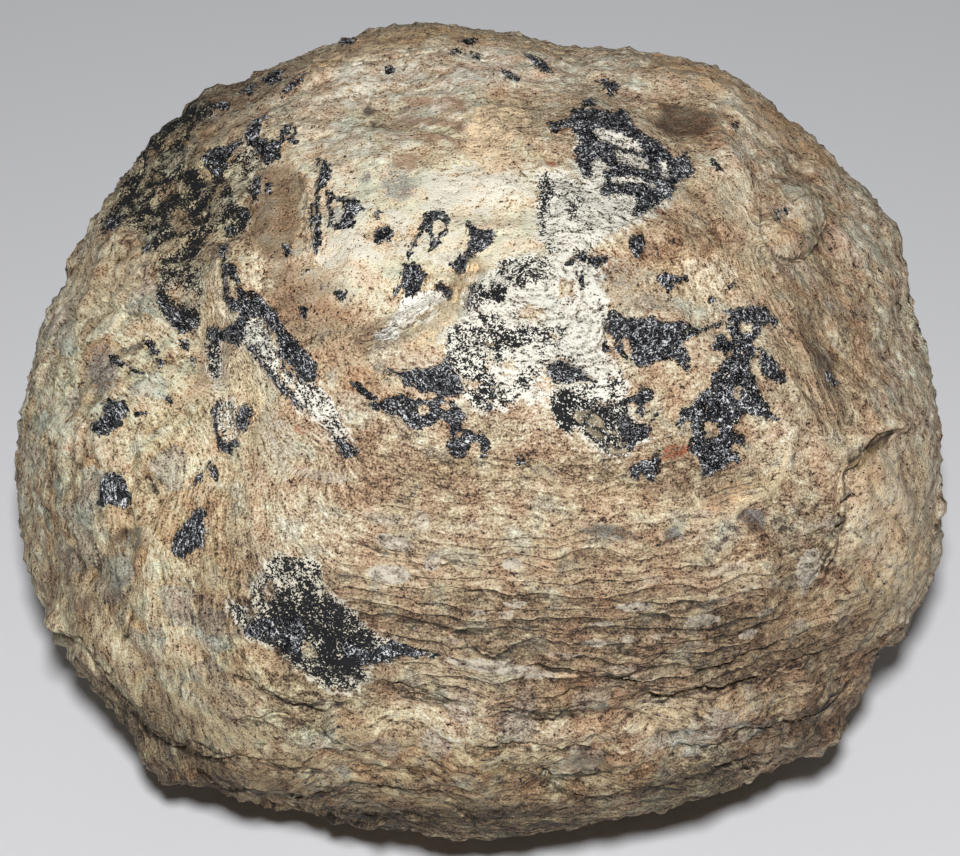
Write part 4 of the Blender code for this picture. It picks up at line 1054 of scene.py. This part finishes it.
def thin(made, may_go, triangles):
    """Merges away triangles, only where may_go is true."""
    group = made.vertex_groups.new(name="may_go")
    group.add(np.flatnonzero(may_go).tolist(), 1.0, "REPLACE")
    fewer = made.modifiers.new("thin", "DECIMATE")
    fewer.vertex_group = "may_go"
    fewer.use_collapse_triangulate = True
    made.data.calc_loop_triangles()
    fewer.ratio = triangles / len(made.data.loop_triangles)
    baked(made)
    made.vertex_groups.clear()


total = 2 * len(stone.data.polygons)
behind = facing < FAR_SIDE
thin(stone, behind, total * (1 - behind.mean() * (1 - BACK_SHARE)))
found, facing = mark(stone.data)
sharp = (np.abs(found["coal"]) < EDGE_KEPT) | (np.abs(found["crack"]) < EDGE_KEPT) | (found["coal"] > 0)
sharp &= facing > FAR_SIDE
thin(stone, ~sharp, TRIANGLES)
shell = points_of(stone.data) + MIDDLE
low_corner, high_corner = (np.array(corner) * 1000 for corner in packed_bounds)
shell = np.clip(shell, low_corner, high_corner)
stone.data.vertices.foreach_set("co", (shell / 1000).astype(np.float32).ravel())
stone.data.update()
mark(stone.data)
store_stains_and_shadows(stone.data)
stone.data.polygons.foreach_set("use_smooth", np.ones(len(stone.data.polygons), bool))


# ---- The stone's colours ----
# Limestone stained by iron and clay: cream on the parting, tan to brown where
# the beds crop out, black where coal is left.
tree = rock.node_tree
tree.nodes.clear()


def value_of(name):
    return add(tree, "ShaderNodeAttribute", attribute_name=name).outputs["Fac"]


def part(value, low, high, bottom=0.0, top=1.0):
    return spread(tree, value, low, high, bottom, top)


def blend(factor, first, second, kind="MIX"):
    return add(tree, "ShaderNodeMix", {0: factor, 6: first, 7: second}, data_type="RGBA",
               blend_type=kind).outputs[2]


def ramp(value, stops):
    made = add(tree, "ShaderNodeValToRGB", {0: value})
    for at, code in stops[1:-1]:
        made.color_ramp.elements.new(at)
    for element, (at, code) in zip(made.color_ramp.elements, stops):
        element.position = at
        element.color = paint(code)
    return made.outputs["Color"]


mm = add(tree, "ShaderNodeVectorMath",
         {0: add(tree, "ShaderNodeTexCoord").outputs["Object"], "Scale": 1000.0},
         operation="SCALE").outputs["Vector"]
apart = add(tree, "ShaderNodeSeparateXYZ", {0: mm})
broad, middling, bent, run = value_of("broad"), value_of("middling"), value_of("bent"), value_of("run")
ragged = mottle(tree, flowing(tree, apart, bent, 1.5), 0.9, 3.0, 0.66, seed=11.0)
grain = mottle(tree, mm, 0.3, 1.0, 0.8, seed=3.0)
strands = mottle(tree, flowing(tree, apart, bent, 4.0), 0.75, 2.0, 0.6, seed=21.0)
through = math(tree, "FRACT", run)
random = add(tree, "ShaderNodeTexWhiteNoise", {"W": math(tree, "FLOOR", run)}, noise_dimensions="1D")
random = random.outputs["Value"]
cells = cells_of(tree, mm, ragged, middling, RELIEF["Cell Size"])
cell = add(tree, "ShaderNodeSeparateColor", {0: cells.outputs["Color"]})
layered, patchy = value_of("layered"), value_of("patchy")

# Laminae: paler at the lip as painted light, darker in the thin parting under it as painted shade, each a
# little unlike the next.
parting_shade = times(tree, part(through, 0.0, 0.17, 1.0, 0.0), layered, part(ragged, 0.32, 0.46, 0.45, 1.0),
                part(middling, 0.34, 0.48, 0.5, 1.0))
threads = part(math(tree, "ABSOLUTE", math(tree, "SUBTRACT", strands, 0.5)), 0.0, 0.045, 1.0, 0.0)
threads = times(tree, threads, part(layered, 0.0, 0.8, 0.45, 1.0))
lip_light_and_bed_tone = sum_of(tree, part(through, 0.2, 1.0, -0.05, 0.06), part(random, 0.0, 1.0, -0.08, 0.08))
even = part(layered, 0.2, 1.0, 1.0, 0.55)
blotch = sum_of(tree, times(tree, middling, 0.6), times(tree, ragged, 0.4))
chip = sum_of(tree, part(ragged, 0.60, 0.65, 0.0, 0.10), part(ragged, 0.40, 0.36, 0.0, -0.09))
rings = part(math(tree, "FRACT", sum_of(tree, times(tree, cells.outputs["Distance"], 4.0), ragged)), 0.0, 0.3,
             1.0, 0.0)
rings = times(tree, rings, patchy, part(cell.outputs[1], 0.4, 0.5))
seams = times(tree, part(sum_of(tree, value_of("seam"), times(tree, ragged, 0.6)), 0.32, 0.5, 1.0, 0.0),
              patchy)
grainy = times(tree, part(grain, 0.33, 0.67, -0.17, 0.28), part(value_of("crisp"), 0.0, 1.0, 0.8, 1.2),
               part(layered, 0.2, 0.8, 1.0, 0.6))
tone = sum_of(tree, part(broad, 0.3, 0.7, -0.05, 0.05), part(blotch, 0.36, 0.64, -0.1, 0.1),
              part(ragged, 0.32, 0.68, -0.16, 0.16), chip)
# The tone ovals lighten and darken the stone; those on the lower rim are painted shade.
tone = sum_of(tree, 0.65, times(tree, tone, even), grainy, value_of("tone_and_shade"))
tone = sum_of(tree, tone, times(tree, lip_light_and_bed_tone, layered),
              times(tree, part(cell.outputs[0], 0.0, 1.0, -0.13, 0.13), patchy), times(tree, seams, -0.2),
              times(tree, rings, -0.1))
LOW_SHADE = (6.0, 24.0, -0.4, 0.0)  # from and to in mm over the floor, and the tone there
# In this sum the relief's hollows are darker and its rises lighter, by the stored height: painted shade and
# painted light.
tone = sum_of(tree, tone, times(tree, value_of("cream"), 0.16), times(tree, value_of("brown"), -0.18),
              part(value_of("height"), -0.8, 0.8, -0.14, 0.14), times(tree, parting_shade, -0.42),
              times(tree, threads, -0.22), times(tree, part(strands, 0.3, 0.7, -0.1, 0.1), layered),
              part(apart.outputs[2], *LOW_SHADE), times(tree, layered, -0.10))
colour = ramp(tone, [(0.0, "#2B231C"), (0.2, "#5F503F"), (0.4, "#97836B"), (0.55, "#BBA78C"),
                     (0.72, "#D9C8AD"), (0.88, "#F0E4CE"), (1.0, "#FFFAF0")])
warm = sum_of(tree, times(tree, value_of("brown"), 0.4), part(broad, 0.45, 0.7, 0.0, 0.25),
              part(middling, 0.48, 0.36, 0.0, 0.25),
              times(tree, part(cell.outputs[1], 0.75, 0.95), patchy, 0.4))
colour = blend(warm, colour, blend(1.0, colour, paint("#E6C3A2"), "MULTIPLY"))
colour = blend(times(tree, value_of("cream"), 0.6), colour, blend(1.0, colour, paint("#FFF6DC"), "MULTIPLY"))
dull = sum_of(tree, part(sum_of(tree, middling, times(tree, ragged, -0.35)), 0.40, 0.44, 0.0, 0.4),
              times(tree, part(cell.outputs[2], 0.72, 0.76, 0.0, 0.6), patchy))
colour = blend(dull, colour, blend(part(tone, 0.3, 0.95), paint("#5C5751"), paint("#D6D1CA")))
hue = blend(part(blotch, 0.42, 0.62), paint("#FFF7F5"), paint("#F8FFF5"))
colour = blend(1.0, colour, hue, "MULTIPLY")
colour = blend(times(tree, value_of("olive"), 0.3), colour, blend(1.0, colour, paint("#F3FFE9"), "MULTIPLY"))
# The stored stain colours, with the painted shadow of the notch among them.
stain_and_shadow = add(tree, "ShaderNodeAttribute", attribute_name="stain_and_shadow")
shade = part(tone, 0.3, 0.9, 0.3, 1.75)
tinted = add(tree, "ShaderNodeVectorMath", {0: stain_and_shadow.outputs["Color"], "Scale": shade}, operation="SCALE")
torn = part(ragged, 0.35, 0.65, -0.4, 0.4)
strength = stain_and_shadow.outputs["Alpha"]
colour = blend(times(tree, strength, part(sum_of(tree, strength, torn, grain), 0.95, 1.3, 0.1, 1.0)), colour,
               tinted.outputs["Vector"])
chalk = part(sum_of(tree, blotch, times(tree, value_of("chalky"), 0.22)), 0.64, 0.70, 0.0, 0.65)
colour = blend(chalk, colour, blend(part(tone, 0.45, 0.95), paint("#B3A28A"), paint("#FBF4E4")))
grey = times(tree, value_of("grey"), part(sum_of(tree, value_of("grey"), torn), 0.35, 0.6))
colour = blend(grey, colour, blend(part(grain, 0.3, 0.7), paint("#3C3935"), paint("#B4B1AD")))
rusty = part(sum_of(tree, value_of("rust"), torn, times(tree, grain, 0.8)), 0.95, 1.1)
colour = blend(times(tree, rusty, 0.85), colour,
               blend(part(grain, 0.4, 0.6), paint("#7A2E26"), paint("#B9693F")))

# Rootlets cut across, and threads of pale lime.
lens = part(sum_of(tree, value_of("lens"), times(tree, torn, 0.4)), -0.05, 0.08)
lens = times(tree, lens, value_of("lens_pale"))
colour = blend(lens, colour, blend(part(sum_of(tree, grain, torn), 0.2, 0.8), paint("#85796A"),
                                  paint("#DAD1C0")))

# Coal dust clumped in lime, blackest along its rim.
depth = sum_of(tree, value_of("dusted"), times(tree, torn, 2.0))
dust = part(depth, -0.5, 0.3)
rim = times(tree, part(depth, -0.4, 0.1), part(depth, 0.9, 0.3))
sooty = value_of("sooty")
black_at = sum_of(tree, times(tree, grain, 0.5), times(tree, ragged, 0.36), times(tree, middling, 0.14))
share = sum_of(tree, value_of("black_share"), part(broad, 0.4, 0.6, -0.1, 0.1), times(tree, rim, 0.2),
               times(tree, part(value_of("seam"), 0.1, 1.0, 0.3, -0.35), sooty))
cut = part(times(tree, share, dust), 0.0, 1.0, 0.40, 0.60)
black = part(math(tree, "SUBTRACT", cut, black_at), -0.02, 0.02)
lime = blend(part(sum_of(tree, grain, torn), 0.2, 0.62), paint("#A9A598"), paint("#FFFCF0"))
lime = blend(sooty, lime, blend(1.0, lime, paint("#C8C6AE"), "MULTIPLY"))
colour = blend(times(tree, dust, part(sooty, 0.0, 1.0, 0.8, 0.2)), colour, lime)
colour = blend(black, colour, paint("#131417"))

edge = sum_of(tree, value_of("coal"), torn)
far_coal = part(sum_of(tree, broad, times(tree, torn, 0.05)), 0.63, 0.64)
solid = math(tree, "MAXIMUM", part(edge, -0.03, 0.05), times(tree, far_coal, value_of("away")))
solid = times(tree, solid, part(sum_of(tree, times(tree, grain, 0.4), times(tree, ragged, 0.6)), 0.63, 0.65,
                                1.0, 0.0))
# Coal: its greys and whites are painted glints, light catching the folds and grains of its flakes.
fold = math(tree, "ABSOLUTE", math(tree, "SUBTRACT", ragged, 0.5))
painted_glint = sum_of(tree, times(tree, grain, 0.45), part(fold, 0.0, 0.05, 0.16, 0.0), times(tree, strands, 0.3),
               times(tree, middling, 0.1))
coal = ramp(painted_glint, [(0.37, "#060608"), (0.46, "#15161A"), (0.515, "#3A3C43"), (0.56, "#8E9096"),
                    (0.61, "#F4F4F4")])
colour = blend(solid, colour, coal)

vein = part(sum_of(tree, value_of("vein"), times(tree, torn, 0.25)), -0.1, 0.1, 0.6, 0.0)
colour = blend(vein, colour, paint("#DCC9A6"))

# Painted shade: the inside of each open crack is drawn dark.
gap = math(tree, "ABSOLUTE", value_of("crack"))
crack = times(tree, part(sum_of(tree, gap, times(tree, torn, 0.3)), 0.12, 0.34, 1.0, 0.0),
              value_of("opening"))
colour = blend(times(tree, crack, 0.9), colour, paint("#1E1813"))

roughness = part(solid, 0.0, 1.0, 0.85, 0.32)
bump_height = times(tree, sum_of(tree, grain, ragged), part(solid, 0.0, 1.0, 0.2, 0.32))
bump = add(tree, "ShaderNodeBump", {"Strength": 1.0, "Distance": 0.001, "Height": bump_height})
surface = add(tree, "ShaderNodeBsdfPrincipled", {"Base Color": colour, "Roughness": roughness,
                                                 "Normal": bump.outputs["Normal"], "Specular IOR Level": 0.5})
add(tree, "ShaderNodeOutputMaterial", {"Surface": surface.outputs["BSDF"]})
stone.data.materials.clear()
stone.data.materials.append(rock)

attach(stone, "root")
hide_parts("coal_ball")


# ---- The floor ----
# A sheet of plain pale paper, wide enough to fill the view.
bpy.ops.mesh.primitive_plane_add(size=6, location=(0, 0, 0))
floor = bpy.context.object
floor.name = "floor"
paper = bpy.data.materials.new("paper")
paper.use_nodes = True
paper.node_tree.nodes["Principled BSDF"].inputs["Base Color"].default_value = paint("#ECEDF1")
paper.node_tree.nodes["Principled BSDF"].inputs["Roughness"].default_value = 0.9
floor.data.materials.append(paper)


# ---- Light and camera ----
# One lamp just above the camera, soft light from high behind the stone and a dim room.
LENS = 125  # mm
AIM_UP = 0.0003  # m
middle = Vector(MIDDLE / 1000)
eye = Vector(OUT) * EYE_AWAY / 1000
camera = bpy.data.objects.new("camera", bpy.data.cameras.new("camera"))
bpy.context.scene.collection.objects.link(camera)
camera.data.lens = LENS
camera.location = middle + eye
aim = middle + Vector(UP) * AIM_UP
camera.rotation_euler = (aim - camera.location).to_track_quat("-Z", "Y").to_euler()
bpy.context.scene.camera = camera

LAMP_PITCH = radians(56.5)
LAMP_AWAY = 0.56  # m
lamp = bpy.data.objects.new("lamp", bpy.data.lights.new("lamp", "AREA"))
bpy.context.scene.collection.objects.link(lamp)
lamp.data.shape = "DISK"
lamp.data.size = 0.04
lamp.data.energy = 2.85
lamp.location = middle + Vector((0.0, -cos(LAMP_PITCH), sin(LAMP_PITCH))) * LAMP_AWAY
lamp.rotation_euler = (middle - lamp.location).to_track_quat("-Z", "Y").to_euler()

FILL_PITCH = radians(38)
fill = bpy.data.objects.new("fill", bpy.data.lights.new("fill", "SUN"))
bpy.context.scene.collection.objects.link(fill)
fill.data.energy = 0.26
fill.data.angle = radians(60)
fill.rotation_euler = Vector((0.0, cos(FILL_PITCH), sin(FILL_PITCH))).to_track_quat("Z", "Y").to_euler()

world = bpy.data.worlds.new("world")
bpy.context.scene.world = world
world.use_nodes = True
world.node_tree.nodes["Background"].inputs["Color"].default_value = (1, 1, 1, 1)
world.node_tree.nodes["Background"].inputs["Strength"].default_value = 0.012
bpy.context.scene.view_settings.view_transform = "Standard"
